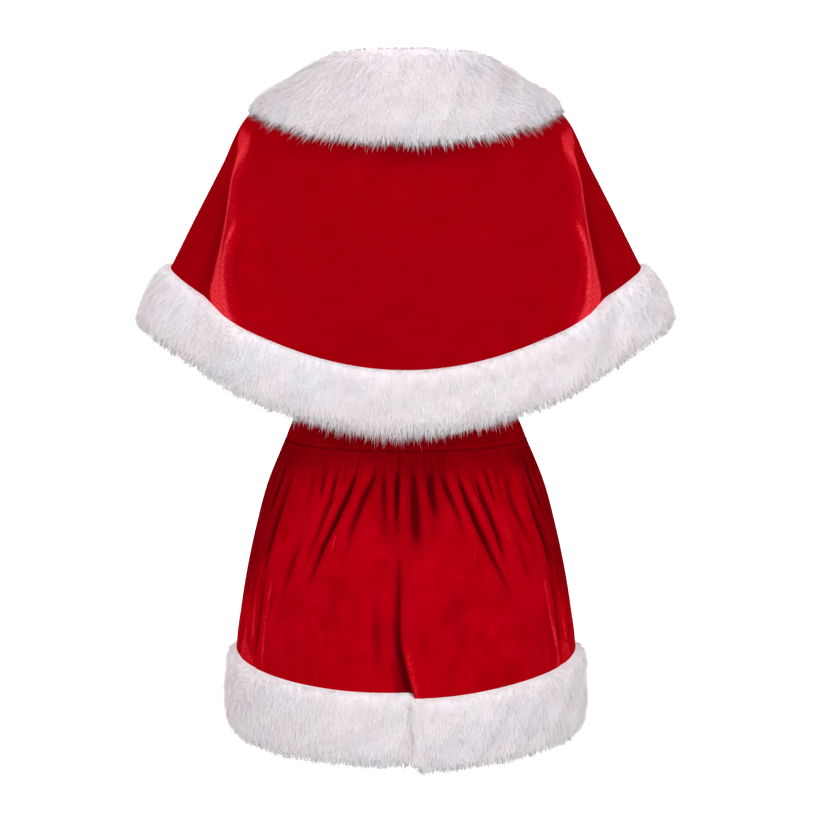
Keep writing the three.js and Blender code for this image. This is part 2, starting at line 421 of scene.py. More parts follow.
def arm_creases() -> tuple[Crease, ...]:
    """Give the cape's finer creases: the folds' edges over the arms and soft pulls from the collar."""
    left = tuple(Crease(*row) for row in (
        (((3.2, -72), (4, -61), (4.7, -53), (5.2, -50), (6.3, -42)), -3.6, 2.6, 0.75, 0.35),
        (((3.6, -79), (4.4, -68), (5.2, -60.5), (6.4, -53)), 4.5, 3.4, 0.7, 0.3),
        (((4.2, -50), (5.2, -46.5), (5.9, -43)), 1.3, 1.8, 0.5, 0.4),
        (((3, -88), (4.2, -83), (6.3, -77)), -2.2, 3.2, 0.6, 0.2),
        (((2.9, -30), (3.6, -27), (4.6, -22)), 1, 4.5, 0.3, 0.1),
        (((2.9, -47), (3.5, -45), (4.3, -40)), 1.2, 3.8, 0.3, 0.1),
        (((5, -12), (6.4, -10)), 0.8, 5, 0.8, 0),
        (((3.1, -102), (4.2, -106), (5.8, -112)), 3, 4.2, 0.45, 0.2),
        (((3.6, -121), (4.8, -126), (6.3, -131)), -2.4, 3.4, 0.6, 0.3),
        (((3, -146), (4, -148), (5.4, -152)), 1.8, 4.4, 0.4, 0.1),
        (((4, -166), (5.2, -168), (6.3, -170)), 1.4, 5, 0.6, 0.1),
    ))
    return left + mirrored(left, 1.2)


def on_both_sides(brushes: Sequence[PaintedLightStroke]) -> tuple[PaintedLightStroke, ...]:
    """Give the painted light strokes of the left side and the same ones on the right."""
    right = tuple(PaintedLightStroke(tuple((at, -last, -first) for at, first, last in painted_light.line), painted_light.strength,
                        painted_light.soft, painted_light.fade) for painted_light in brushes)
    return tuple(brushes) + right


# Painted light on the cape: painted highlights along the folds over the arms and on the front, painted
# shade beside them and on the sides, and a painted shadow under the collar
CAPE_PAINTED_LIGHT = on_both_sides(tuple(PaintedLightStroke(*row) for row in (
    (((3.2, -84, -66), (3.45, -77, -62.5), (3.65, -69, -62)), 0.75, 2),
    (((3.6, -69, -65), (4, -66, -63.2), (4.33, -60.6, -58.4), (4.6, -58.4, -56.6), (4.86, -57.4, -55.2),
      (5.16, -56.7, -54), (5.45, -56.4, -52.4), (5.83, -54.8, -46.8), (6.06, -50.5, -37.5)), 0.7, 0.6),
    (((3.6, -68.5, -60), (4, -65.8, -58.5), (4.6, -58.2, -50), (5.2, -55.8, -47),
      (6.06, -49, -35.5)), 0.32, 1.4),
    (((4.65, -52.6, -51.4), (4.9, -52.4, -51.4), (5.2, -51.6, -50.4), (5.5, -49.4, -47.7),
      (5.75, -47.2, -45.2), (6.06, -46, -41)), 0.85, 0.6),
    (((5.1, -54, -51.5), (5.4, -55, -49.5), (5.8, -54.2, -44), (6.1, -50.5, -36.5)), 0.4, 1),
    (((4.1, -67, -62), (4.8, -65, -59.5), (6.1, -60, -53)), -0.22, 1.6, 0.4),
    (((3.6, -100, -70), (4.6, -100, -62), (6.1, -100, -55)), -0.1, 3, 0.4),
    (((2.8, -30, 30), (3.2, -30, 30)), -0.22, 30, 0.25),
    (((3.2, -113, -111), (4.4, -123, -119.5), (5.4, -129, -124), (6.1, -133, -126)), 0.24, 3, 0.7),
    (((4, -150, -147), (5, -153, -149), (5.8, -156, -151)), 0.15, 3, 0.6),
)))


@dataclass(frozen=True)
class CapeCloth(Cloth):
    """The cape's velvet, which falls from the neck over the shoulders."""

    sections: tuple[Section, ...] = (
        Section(74, 55, 61, 18, 26, -26, 2.0, 0.6),
        Section(81, 60, 68, 8, 14, -37, 2.0, 0.6),
        Section(121, 91, 101, -18, -30, -72, 2.1, 0.6),
        Section(167, 114, 128, -45, -80, -112, 2.2, 0.7),
        Section(194, 126, 145, -95, -153, -174, 2.3, 0.8),
        Section(222, 134, 152, -149, -227, -237, 2.4, 0.9),
        Section(250, 139, 156, -204, -301, -300, 2.45, 1.0),
        Section(283, 144, 160, -266, -379, -378, 2.45, 1.15),
    )
    folds: tuple[Fold, ...] = (
        Fold(70, 38, 9.0, 6.5, 3.1, 4.4),
        Fold(84, 55, -6.0, 9, 3.4, 5.0),
        Fold(-70, -38, 9.0, 6.5, 3.1, 4.4),
        Fold(-84, -55, -6.0, 9, 3.4, 5.0),
        Fold(8, 6, -2.0, 16, 4.0, 6.0),
        Fold(-34, -30, 1.5, 9, 4.2, 6.0),
        Fold(108, 132, 7.0, 9, 3.2, 4.8),
        Fold(-108, -132, 7.0, 9, 3.2, 4.8),
        Fold(180, 180, -2.0, 18, 4.0, 6.0),
    )
    creases: tuple[Crease, ...] = arm_creases()
    # The cape's painted light: its strokes, painted shade in the hollows and painted highlight on the
    # ridges
    brushes: tuple[PaintedLightStroke, ...] = CAPE_PAINTED_LIGHT
    hollow_scale: float = 9.0
    ridge_light: float = 0.1
    kept: float = 1.0
    level_wall: bool = False

    def smooth(self, turn: Array, at: Array) -> Array:
        """Give the points of the cape before it folds."""
        return self.form.point(turn, at)

    def relief(self, turn: Array, at: Array) -> Array:
        """Say how far the folds move the cape outwards.

        Args:
            turn: The turns of the places.
            at: Their sections.

        Returns:
            Millimetres outwards.
        """
        total = np.zeros(np.broadcast(turn, at).shape)
        down = (at - COLLAR_EDGE) / (CAPE_SEAM - COLLAR_EDGE)
        for fold in self.folds:
            centre = fold.top + (fold.hem - fold.top) * down
            strength = fold.rise * ramp(at, fold.start, fold.end)
            total = total + strength * bell(turn_from(turn, centre), fold.spread)
        for crease in self.creases:
            total = total + crease.relief(turn, at)
        return total * (1.0 + (self.kept - 1.0) * ramp(at, CAPE_SEAM, CAPE_SEAM + 1))


BACK_CREASES = tuple(Crease(*row) for row in (
    (((1, -31), (1.5, -31), (2.05, -31.2), (2.76, -34.8), (3.14, -37.5), (3.9, -41)), 6.5, 1.5),
    (((1, -21), (1.57, -21.8), (2.03, -24), (2.45, -27.2), (2.97, -31.5), (3.3, -33.2),
      (4.1, -37.5)), 9, 1.6, 0.42, 0.45),
    (((1, -12.6), (1.6, -13.5), (2.01, -16.8), (2.7, -20.5), (3.3, -22)), 7, 2),
    (((1, -8.8), (1.5, -9), (2.3, -7.2), (3, -7.5)), 4.5, 1.4),
    (((1, -3.5), (1.41, -3.5), (2.09, -3.2), (2.9, -2.6)), 8, 1.2, 0.4, 0.45),
    (((1, 3.2), (1.4, 3.2), (2.4, 3), (3.2, 4)), 7.5, 2, 0.42, 0.15),
    (((1, 10), (1.36, 10), (1.86, 9.8), (2.5, 10.5)), 8.5, 1.9, 0.45, 0.3),
    (((1, 14.8), (1.46, 15.2), (1.74, 15.8), (2.34, 20), (2.9, 22.5)), 6.5, 1.5, 0.4),
    (((1, 20.5), (1.38, 21.5), (2.08, 24.5), (2.45, 27), (3.01, 31.2), (3.5, 35),
      (4.3, 39.5)), 9, 1.7, 0.42, 0.45),
    (((1, 29), (1.45, 30), (2.06, 32), (2.76, 36.2), (3.29, 37.8), (3.95, 41.5)), 7, 1.5, 0.45, 0.4),
    (((1, 36.5), (1.66, 36.8), (2.2, 37.4)), 5.5, 1.3, 0.5, 0.4),
    (((1, -37.6), (1.66, -37.2), (2.2, -34.8)), 5.5, 1.3, 0.5, 0.4),
    (((1, 49), (2.12, 47.2), (2.76, 51.5), (3.4, 56)), 6, 2.6, 0.5, 0.1),
    (((1, -55), (2.05, -59.5), (2.95, -63), (4.5, -64.5)), 6.5, 3, 0.5, 0.1),
    (((1.4, 57.5), (2.25, 60.8), (3.08, 65.8), (4.4, 68)), 6, 2.6, 0.45, 0.15),
    (((1.2, 27), (1.9, 29), (2.6, 33)), 3, 0.9, 0.4),
    (((1.1, -26), (1.7, -27.2), (2.4, -31)), 3, 0.9, 0.4),
    (((1.1, -43.5), (1.8, -42.5), (2.4, -42)), 2.6, 1.3, 0.4, 0.1),
    (((1.1, 42.5), (1.9, 42), (2.5, 44)), 2.8, 1.2, 0.4, 0.1),
    (((2.6, -40.5), (3.4, -45), (4.3, -48.5)), 3, 1.8, 0.5, 0.1),
    (((2.4, 43.5), (3.2, 47.5), (4.2, 50)), 2.6, 1.8, 0.5, 0.1),
    (((3, -2.4), (4.13, -1.8), (5.2, -0.6)), 2.2, 0.9, 0.5, 0.5),
    (((3.2, -6), (4.6, -5.4), (6.2, -3.4)), -1.8, 1.7, 0.6, 0.2),
    (((3.9, -13.4), (4.8, -11.8), (5.6, -11)), -1.5, 1, 0.5, 0.3),
    (((3.6, -10), (4.6, -9), (5.9, -8.2)), 1.2, 1.7, 0.5, 0.1),
    (((3, 5.6), (4.29, 9.5), (5.2, 10.5)), -0.9, 1.6, 0.5, 0.1),
    (((2.8, 2.6), (3.6, 3.6), (4.6, 4.2)), -1.6, 1.5, 0.5, 0.1),
    (((3.3, 14), (4.3, 17), (5.4, 18.5)), 1, 2.6, 0.5, 0),
    (((3.4, -24), (4.4, -26), (5.4, -26.5)), 1.6, 2.8, 0.5, 0),
    (((3.2, -57), (4.53, -57.2), (6.3, -57.5)), -2.6, 1, 0.6, 0.5),
    (((3.4, -60.4), (4.5, -60.6), (6.3, -60.5)), 3, 1.6, 0.6, 0.2),
    (((3.8, -49.5), (4.6, -51.8), (5.42, -54.5)), -2.2, 0.9, 0.6, 0.5),
    (((3.4, -72), (4.51, -71), (6.2, -70.5)), -2.8, 1.1, 0.5, 0.4),
    (((2.6, -77), (4.4, -75), (6.2, -75)), 3.6, 1.9, 0.5, 0.2),
    (((3.1, 57.8), (4.36, 60.8), (5.53, 60), (6.2, 59)), -2.6, 1, 0.6, 0.5),
    (((3.2, 62.5), (4.4, 64.4), (6.3, 63.5)), 3.2, 1.6, 0.6, 0.2),
    (((4.3, 52), (5.2, 54), (6.2, 54.5)), -1.9, 0.9, 0.6, 0.4),
    (((3.3, 74.5), (4.62, 70.8), (6.2, 70)), -2.8, 1.1, 0.5, 0.4),
    (((2.6, 79), (4.4, 76), (6.2, 75.5)), 3.6, 1.9, 0.5, 0.2),
    (((2.2, 84.8), (3.01, 84.8), (4.04, 84.8), (5.2, 84)), 3.4, 2, 0.5, 0.2),
    (((2.2, -84), (3.4, -84.4), (5.2, -84)), 3.4, 2, 0.5, 0.2),
    (((1, -66), (1.8, -67), (2.8, -69.5)), 5, 1.9, 0.5, 0.2),
    (((1, 66), (1.8, 67), (2.8, 70.5)), 5, 1.9, 0.5, 0.2),
    (((1, -74), (1.9, -75.5), (3.1, -78)), 5.5, 1.9, 0.5, 0.2),
    (((1, 74), (1.9, 75.5), (3.1, 78)), 5.5, 1.9, 0.5, 0.2),
    (((1, -82), (1.9, -83), (2.7, -84)), 4.5, 1.7, 0.5, 0.2),
    (((1, 82), (1.9, 83), (2.7, 84)), 4.5, 1.7, 0.5, 0.2),
))


def front_creases() -> tuple[Crease, ...]:
    """Give the front's soft folds below its gathers, uneven in place, length and depth."""
    rng = np.random.default_rng(8)
    made, turn = [], 98.0
    while turn < 264.0:
        top, foot = rng.uniform(2.4, 3.4), rng.uniform(4.4, 6.3)
        outwards = 3.0 if turn > 180 else -3.0
        sway = rng.uniform(-3.0, 3.0) + outwards * abs(math.sin(math.radians(2 * turn)))
        line = ((top, turn), ((top + foot) / 2, turn + 0.6 * sway), (foot, turn + sway))
        ridge = -1.0 if rng.random() < 0.4 else 1.0
        made.append(Crease(line, ridge * rng.uniform(1.2, 2.8), rng.uniform(1.2, 2.6), 0.5, 0.2))
        turn += rng.uniform(4.5, 9.0)
    return tuple(made)


def front_gathers() -> tuple[Gather, ...]:
    """Give the front's gathers, uneven in place, depth, width and length."""
    made = []
    for k, turn in enumerate(range(99, 262, 9)):
        uneven, other = math.sin(turn * 1.7), math.sin(2.9 * k + 0.6)
        made.append(Gather(turn + 2.2 * other, 5 + 1.8 * uneven, 2.1 + 0.5 * other, 2.1 + 0.3 * uneven,
                           4.5 + 1.0 * uneven))
        if other > 0.2:
            made.append(Gather(turn + 4.6, 2.4 + uneven, 1.4, 1.9, 3.4 + 0.6 * other))
    return tuple(made)


def elastic_puckers() -> tuple[Gather, ...]:
    """Give the small puckers that the elastic draws up, unevenly spaced all round."""
    rng = np.random.default_rng(31)
    made, turn = [], 0.0
    while turn < 358.5:
        depth, deepest = rng.uniform(0.5, 1.5), rng.uniform(1.1, 1.35)
        made.append(Gather(turn, depth, rng.uniform(0.5, 0.8), deepest, rng.uniform(1.6, 2.9)))
        turn += rng.uniform(1.7, 3.1)
    return tuple(made)


# Painted light on the skirt: a painted shadow all round below the cape's hem and on the casing, painted
# shade on the sides and in the fold down the back, and painted highlights along ridges and fold edges
SKIRT_PAINTED_LIGHT = tuple(PaintedLightStroke(*row) for row in (
    (((0, -180, 180), (1.55, -180, 180)), -0.3, 9, 0.35),
    (((1.3, -108, -58), (4.6, -104, -66)), -0.56, 7, 0.7),
    (((1.3, 58, 108), (4.6, 66, 104)), -0.56, 7, 0.7),
    (((1.2, -14, 17), (2.1, -13, 15), (3, -5, 9)), -0.34, 3, 0.5),
    (((4.95, -1.9, -0.9), (5.64, -0.8, 1), (6.2, 0.2, 3.2)), -0.9, 0.4, 0.15),
    (((3.15, -2.5, -1.6), (4.1, -2.3, -1.4), (5, -2, -0.8)), -0.45, 0.4),
    (((5, -0.9, 0.8), (5.64, 0.9, 2.6), (6.2, 3, 4.6)), 0.3, 0.7),
    (((3.5, -66, -64.4), (4.2, -66.4, -64.8), (5.45, -64, -62.8)), 0.6, 0.4),
    (((3.8, -55.6, -54.2), (4.8, -56, -54.8), (5.9, -55.8, -54.4)), 0.6, 0.4),
    (((4.6, -69.6, -68.2), (5.5, -70.4, -68.6), (5.8, -75, -64), (6.1, -76, -55)), 0.5, 1.2),
    (((3.8, 57, 58.4), (4.8, 57.8, 59.2), (5.9, 60, 61.6)), 0.6, 0.4),
    (((3.7, 68, 69.4), (4.5, 67.6, 69), (5.6, 68.2, 69.6)), 0.6, 0.4),
    (((5.4, 62, 64), (5.75, 62, 72), (6.1, 56, 76)), 0.45, 1.2),
    (((4.4, -34, -32.6), (4.65, -31.5, -29.5), (4.9, -29, -27)), 0.36, 1.5),
    (((4.3, -27.5, -25), (4.75, -26.5, -24)), 0.32, 1.6),
    (((4.35, 36, 38.5), (4.6, 31, 33.5), (4.8, 27.5, 29.5)), 0.36, 1.5),
    (((4.4, 29, 31), (4.9, 27, 29)), 0.3, 1.6),
    (((2, -34, -28), (3, -42, -36), (4, -46, -40)), 0.14, 2.2, 0.5),
    (((1.6, -46, -40.5), (2.3, -46.5, -40.5), (3.1, -51, -43)), 0.18, 1.6, 0.35),
    (((1.7, -30.5, -25.5), (2.5, -34.5, -30)), 0.18, 1.2, 0.3),
    (((1.6, 38.5, 43.5), (2.4, 38.5, 44.5), (3, 41, 47)), 0.14, 1.6, 0.35),
    (((1.7, 23.5, 28), (2.4, 29.5, 33)), 0.17, 1.2, 0.3),
    (((2.3, 34, 41), (3.2, 42, 48), (4.2, 46, 51)), 0.14, 2.2, 0.5),
    (((2.6, 5, 9), (3.4, 6, 11), (4.4, 4, 10)), 0.1, 2.5, 0.5),
    (((2.7, -26.2, -25.7), (3.1, -27.6, -27.1)), 0.6, 0.3, 0.12),
    (((3, -24.6, -24.2), (3.4, -24.6, -24.2)), 0.5, 0.3, 0.12),
    (((2.9, 25.2, 25.7), (3.3, 24.2, 24.7)), 0.5, 0.3, 0.12),
    (((2.8, 29, 29.5), (3.1, 30.6, 31.1)), 0.45, 0.3, 0.12),
))


@dataclass(frozen=True)
class SkirtCloth(Cloth):
    """The skirt's velvet, gathered into the casing, with one fold down the middle of the back."""

    sections: tuple[Section, ...] = (
        Section(113, 88, 88, -353, -353, -353, 2.0, 1.0),
        Section(130, 100, 98, -391, -391, -391, 2.0, 1.0),
        Section(149, 121, 115, -438, -439, -439, 2.1, 0.6),
        Section(162, 136, 128, -486, -490, -490, 2.1, 0.6),
        Section(172, 145, 137, -532, -541, -540, 2.1, 0.6),
        Section(179, 150, 143, -575, -588, -587, 2.1, 0.6),
        Section(184, 154, 148, -616, -635, -633, 2.1, 0.6),
        Section(187, 158, 152, -706, -714, -713, 2.1, 0.45),
    )
    gathers: tuple[Gather, ...] = front_gathers()
    puckers: tuple[Gather, ...] = elastic_puckers()
    creases: tuple[Crease, ...] = BACK_CREASES + front_creases()
    # The skirt's painted light: its strokes, painted shade in the hollows and painted highlight on the
    # ridges
    brushes: tuple[PaintedLightStroke, ...] = SKIRT_PAINTED_LIGHT
    hollow_scale: float = 2.1
    ridge_light: float = 0.3
    casing_share: float = 0.4
    core_share: float = 0.35
    core_width: float = 0.45
    crease_start: float = 1.2
    crease_full: float = 1.9
    tuck_line: tuple[tuple[float, float], ...] = (
        (0.0, -3.0), (3.3, -2.4), (4.13, -1.8), (4.93, -1.0), (5.64, 0.9), (6.03, 2.6), (7.0, 3.4),
    )
    tuck_depth: float = 8.0
    tuck_reach: float = 15.0
    tuck_start: float = 3.2
    tuck_full: float = 5.6
    tuck_drift_reach: float = 11.0
    fan_drift: float = 13.0
    fan_start: float = 1.2
    fan_full: float = 4.6
    hem_drop: float = 5.0
    hem_drop_reach: float = 15.0
    hem_drop_start: float = 4.4
    kept: float = 1.0
    level_wall: bool = True

    def reached(self, turn: Array, at: Array) -> Array:
        """Give the turn that a column has reached, as the gathers fan out and the tuck drifts.

        Args:
            turn: The column's turn at the casing.
            at: The sections.

        Returns:
            The turns on the form.
        """
        outward = self.fan_drift * np.sin(2 * np.radians(turn))
        outward = outward * ramp(at, self.fan_start, self.fan_full)
        places, turns = zip(*self.tuck_line)
        across = np.interp(at, places, turns) * bell(turn_from(turn, 0.0), self.tuck_drift_reach)
        return turn + outward + across

    def smooth(self, turn: Array, at: Array) -> Array:
        """Give the points of the skirt before it folds.

        Args:
            turn: The turns that the columns have at the casing.
            at: The sections.

        Returns:
            Points in millimetres.
        """
        points = self.form.point(self.reached(turn, at), at)
        ahead = turn_from(turn, 0.0)
        longer = np.where(ahead >= 0.0, bell(ahead, self.hem_drop_reach), 0.0)
        points[..., 2] -= self.hem_drop * longer * ramp(at, self.hem_drop_start, SKIRT_SEAM)
        return points

    def painted_light_and_shade(self, turn: Array, at: Array) -> Array:
        """Say how much painted light and shade the painted strokes give, at the turns that the columns
        reach.
        """
        return super().painted_light_and_shade(self.reached(turn, at), at)

    def valley(self, gather: Gather, turn: Array, at: Array) -> Array:
        """Give one valley between gathers, a bell with a narrower one in its middle.

        Args:
            gather: The valley.
            turn: The turns of the places.
            at: Their sections.

        Returns:
            Millimetres inwards.
        """
        grown = ramp(at, CASING_END, gather.deepest)
        grown = self.casing_share + (1.0 - self.casing_share) * grown
        left = 1.0 - ramp(at, gather.deepest, gather.gone)
        away = turn_from(turn, gather.turn)
        wide = bell(away, gather.spread)
        core = bell(away, gather.spread * self.core_width)
        return gather.depth * grown * left * ((1.0 - self.core_share) * wide + self.core_share * core)

    def relief(self, turn: Array, at: Array) -> Array:
        """Say how far the folds move the skirt outwards.

        Args:
            turn: The turns that the columns have at the casing.
            at: The sections.

        Returns:
            Millimetres outwards.
        """
        total = np.zeros(np.broadcast(turn, at).shape)
        for gather in self.gathers + self.puckers:
            total = total - self.valley(gather, turn, at)
        reached = self.reached(turn, at)
        creased = sum((crease.relief(reached, at) for crease in self.creases), np.zeros(total.shape))
        total = total + creased * ramp(at, self.crease_start, self.crease_full)
        ahead = turn_from(turn, 0.0)
        lies_under = (ahead < 0) & (ahead > -self.tuck_reach)
        under = np.where(lies_under, np.maximum(1.0 + ahead / self.tuck_reach, 0.0) ** 1.6, 0.0)
        total = total - self.tuck_depth * under * ramp(at, self.tuck_start, self.tuck_full)
        return total * (1.0 + (self.kept - 1.0) * ramp(at, SKIRT_SEAM, SKIRT_SEAM + 1))


# The finishes


class Dye:
    """A material in the making: its nodes, and the coordinates that it reads."""

    def __init__(self, name: str) -> None:
        """Make a plain node material."""
        self.material = bpy.data.materials.new(name)
        self.material.use_nodes = True
        self.tree = self.material.node_tree
        self.shader = next(n for n in self.tree.nodes if n.type == "BSDF_PRINCIPLED")
        where = self.tree.nodes.new("ShaderNodeTexCoord")
        self.place, self.cloth = where.outputs["Object"], where.outputs["UV"]

    def fill(self, node: bpy.types.Node, **inputs: object) -> bpy.types.Node:
        """Link or set a node's inputs.

        Args:
            node: The node.
            inputs: A socket, number, vector or colour for each input, named with _ for its spaces.

        Returns:
            The node.
        """
        for name, value in inputs.items():
            socket = node.inputs[name.replace("_", " ")]
            if isinstance(value, Socket):
                self.tree.links.new(value, socket)
            elif socket.type == "RGBA":
                socket.default_value = (*value, 1.0)
            else:
                socket.default_value = value
        return node

    def noise(self, place: Socket, scale: float, detail: float, rough: float = 0.5) -> Socket:
        """Add a noise texture, where rough is how strong its finer octaves are, and give its value."""
        node = self.tree.nodes.new("ShaderNodeTexNoise")
        return self.fill(node, Vector=place, Scale=scale, Detail=detail, Roughness=rough).outputs["Fac"]

    def stretched(self, place: Socket, scale: Triple) -> Socket:
        """Add a Mapping node that stretches coordinates, and give its result."""
        node = self.tree.nodes.new("ShaderNodeMapping")
        return self.fill(node, Vector=place, Scale=scale).outputs["Vector"]

    def attribute(self, name: str) -> Socket:
        """Add a node that reads a vertex attribute, and give its value."""
        node = self.tree.nodes.new("ShaderNodeAttribute")
        node.attribute_name = name
        return node.outputs["Fac"]

    def product(self, first: Socket, second: Socket) -> Socket:
        """Multiply two values."""
        node = self.tree.nodes.new("ShaderNodeMath")
        node.operation = "MULTIPLY"
        self.tree.links.new(first, node.inputs[0])
        self.tree.links.new(second, node.inputs[1])
        return node.outputs[0]

    def remapped(self, value: Socket, low: float, high: float, to_low: float, to_high: float) -> Socket:
        """Add a Map Range node.

        Args:
            value: What it reads.
            low: The value that gives to_low.
            high: The value that gives to_high.
            to_low: The result at low and below.
            to_high: The result at high and above.

        Returns:
            The node's result.
        """
        node = self.tree.nodes.new("ShaderNodeMapRange")
        node.clamp = True
        self.fill(node, Value=value, From_Min=low, From_Max=high, To_Min=to_low, To_Max=to_high)
        return node.outputs["Result"]

    def blended(self, share: Socket, first: Triple | Socket, second: Triple | Socket) -> Socket:
        """Mix two colours.

        Args:
            share: How much of the second there is.
            first: A colour or a socket.
            second: A colour or a socket.

        Returns:
            The mixed colour.
        """
        node = self.tree.nodes.new("ShaderNodeMix")
        node.data_type = "RGBA"
        self.tree.links.new(share, node.inputs["Factor"])
        for name, colour in (("A", first), ("B", second)):
            socket = next(s for s in node.inputs if s.name == name and s.type == "RGBA")
            if isinstance(colour, Socket):
                self.tree.links.new(colour, socket)
            else:
                socket.default_value = (*colour, 1.0)
        return next(s for s in node.outputs if s.type == "RGBA")

    def bumped(self, height: Socket, distance: float, strength: float,
               before: Socket | None = None) -> Socket:
        """Add a Bump node.

        Args:
            height: The height that it reads, from 0 to 1.
            distance: What a height of 1 is, in metres.
            strength: Its strength.
            before: The normal that it adds to.

        Returns:
            The new normal.
        """
        node = self.tree.nodes.new("ShaderNodeBump")
        self.fill(node, Height=height, Distance=distance, Strength=strength)
        if before is not None:
            self.tree.links.new(before, node.inputs["Normal"])
        return node.outputs["Normal"]

    def finished(self, **inputs: object) -> Material:
        """Link or set the shader's inputs, and give the material."""
        self.fill(self.shader, **inputs)
        return self.material


@dataclass(frozen=True)
class Velvet:
    """Red stretch velvet: a short nap, crushed a little here and there, with painted highlights on its
    folds and painted shade in its creases.
    """

    name: str
    crush: float
    # shade is a painted shade for the creases and the painted shadows
    shade: Triple = (0.12, 0.0, 0.003)
    deep: Triple = (0.31, 0.0, 0.003)
    # The lighter tone of the crushed nap, which is also the painted highlight on the ridges and strokes
    bright: Triple = (0.435, 0.0, 0.006)
    # glint is a painted highlight along the folds
    glint: Triple = (0.86, 0.035, 0.052)
    sheen_tint: Triple = (1.0, 0.03, 0.06)
    specular_tint: Triple = (1.0, 0.08, 0.13)
    lustre: float = 0.12
    sheen: float = 0.02
    sheen_roughness: float = 0.35
    crush_scale: float = 34.0
    streak_scales: Triple = (190.0, 26.0, 1.0)
    nap_scale: float = 1500.0
    grain_scale: float = 430.0

    def material(self) -> Material:
        """Build the finish."""
        dye = Dye(self.name)
        # A vertex attribute of painted light and shade, broken up by a grain
        painted_light_and_shade = dye.attribute("nap_and_painted_light")
        crushed = dye.noise(dye.place, self.crush_scale, 3.0, 0.55)
        streaks = dye.noise(dye.stretched(dye.cloth, self.streak_scales), 1.0, 2.0)
        # Only the real nap's fine bump
        nap_and_painted_light = dye.noise(dye.place, self.nap_scale, 2.0, 0.6)
        grain = dye.noise(dye.place, self.grain_scale, 2.0, 0.7)
        light = dye.product(painted_light_and_shade, dye.remapped(grain, 0.36, 0.6, 0.6, 1.15))
        tone = dye.blended(dye.remapped(crushed, 0.33, 0.67, 0.0, self.crush), self.deep, self.bright)
        tone = dye.blended(dye.remapped(streaks, 0.3, 0.7, 0.0, 0.5 * self.crush), tone, self.bright)
        # Painted highlight on the ridges and strokes, then painted glints where it is strongest
        tone = dye.blended(dye.remapped(light, 0.0, 0.35, 0.0, 1.0), tone, self.bright)
        tone = dye.blended(dye.remapped(light, 0.33, 1.0, 0.0, 1.0), tone, self.glint)
        # Painted shade in the creases and painted shadows
        tone = dye.blended(dye.remapped(painted_light_and_shade, -1.0, 0.0, 1.0, 0.0), tone, self.shade)
        normal = dye.bumped(crushed, 0.0022, 0.5)
        normal = dye.bumped(streaks, 0.0005, 0.4, normal)
        normal = dye.bumped(nap_and_painted_light, 0.0004, 0.35, normal)
        return dye.finished(
            Base_Color=tone, Roughness=dye.remapped(crushed, 0.3, 0.7, 0.5, 0.38), Normal=normal,
            Metallic=self.lustre, Specular_IOR_Level=0.0, Specular_Tint=self.specular_tint,
            Sheen_Weight=self.sheen, Sheen_Roughness=self.sheen_roughness, Sheen_Tint=self.sheen_tint)


@dataclass(frozen=True)
class KnitBack:
    """The matt knitted back of the velvet, which shows inside."""

    colour: Triple = (0.22, 0.004, 0.008)
    dark: Triple = (0.14, 0.002, 0.005)
    wale_scales: Triple = (900.0, 260.0, 1.0)

    def material(self) -> Material:
        """Build the finish."""
        dye = Dye("velvet_knit_back")
        wales = dye.noise(dye.stretched(dye.cloth, self.wale_scales), 1.0, 1.0)
        tone = dye.blended(dye.remapped(wales, 0.3, 0.7, 0.0, 1.0), self.dark, self.colour)
        return dye.finished(Base_Color=tone, Normal=dye.bumped(wales, 0.0004, 0.6), Roughness=0.92)


@dataclass(frozen=True)
class FauxFur:
    """Soft white fur fabric, a little rosy and bluish in places and greyer at its roots."""

    white: Triple = (0.97, 0.935, 0.96)
    rosy: Triple = (0.98, 0.88, 0.915)
    cool: Triple = (0.90, 0.91, 0.975)
    root: Triple = (0.94, 0.89, 0.925)
    rosy_scale: float = 26.0
    cool_scale: float = 17.0
    pile_scale: float = 420.0

    def material(self) -> Material:
        """Build the finish."""
        dye = Dye("white_fur")
        rosy = dye.noise(dye.place, self.rosy_scale, 2.0)
        cool = dye.noise(dye.stretched(dye.place, (1.0, 1.0, 1.3)), self.cool_scale, 1.0)
        pile = dye.noise(dye.place, self.pile_scale, 2.0)
        tone = dye.blended(dye.remapped(rosy, 0.45, 0.72, 0.0, 0.8), self.white, self.rosy)
        tone = dye.blended(dye.remapped(cool, 0.5, 0.75, 0.0, 0.7), tone, self.cool)
        tone = dye.blended(dye.remapped(dye.attribute("along"), 0.0, 0.55, 1.0, 0.0), tone, self.root)
        return dye.finished(
            Base_Color=tone, Normal=dye.bumped(pile, 0.0012, 0.5), Roughness=0.95, Specular_IOR_Level=0.1,
            Sheen_Weight=0.25, Sheen_Roughness=0.6)


@dataclass(frozen=True)
class Plain:
    """A matt finish of a colour and a darker one, mottled as finely as its knit or twist."""

    name: str
    colour: Triple
    darker: float
    scale: float
    detail: float
    roughness: float
    specular: float
    relief: float = 0.0

    def material(self) -> Material:
        """Build the finish."""
        dye = Dye(self.name)
        mottle = dye.noise(dye.place, self.scale, self.detail)
        tone = dye.blended(mottle, tuple(self.darker * c for c in self.colour), self.colour)
        if self.relief:
            dye.finished(Normal=dye.bumped(mottle, self.relief, 0.5))
        return dye.finished(Base_Color=tone, Roughness=self.roughness, Specular_IOR_Level=self.specular)


# Making pieces


def deselect() -> None:
    """Deselect everything, because an operator acts on all that is selected."""
    bpy.ops.object.select_all(action="DESELECT")


def choose(piece: Piece) -> None:
    """Select one object alone and make it the active one."""
    deselect()
    piece.select_set(True)
    bpy.context.view_layer.objects.active = piece


def vertex_places(piece: Piece) -> Array:
    """Give the vertices of a piece as an array."""
    places = np.empty(len(piece.data.vertices) * 3)
    piece.data.vertices.foreach_get("co", places)
    return places.reshape(-1, 3)


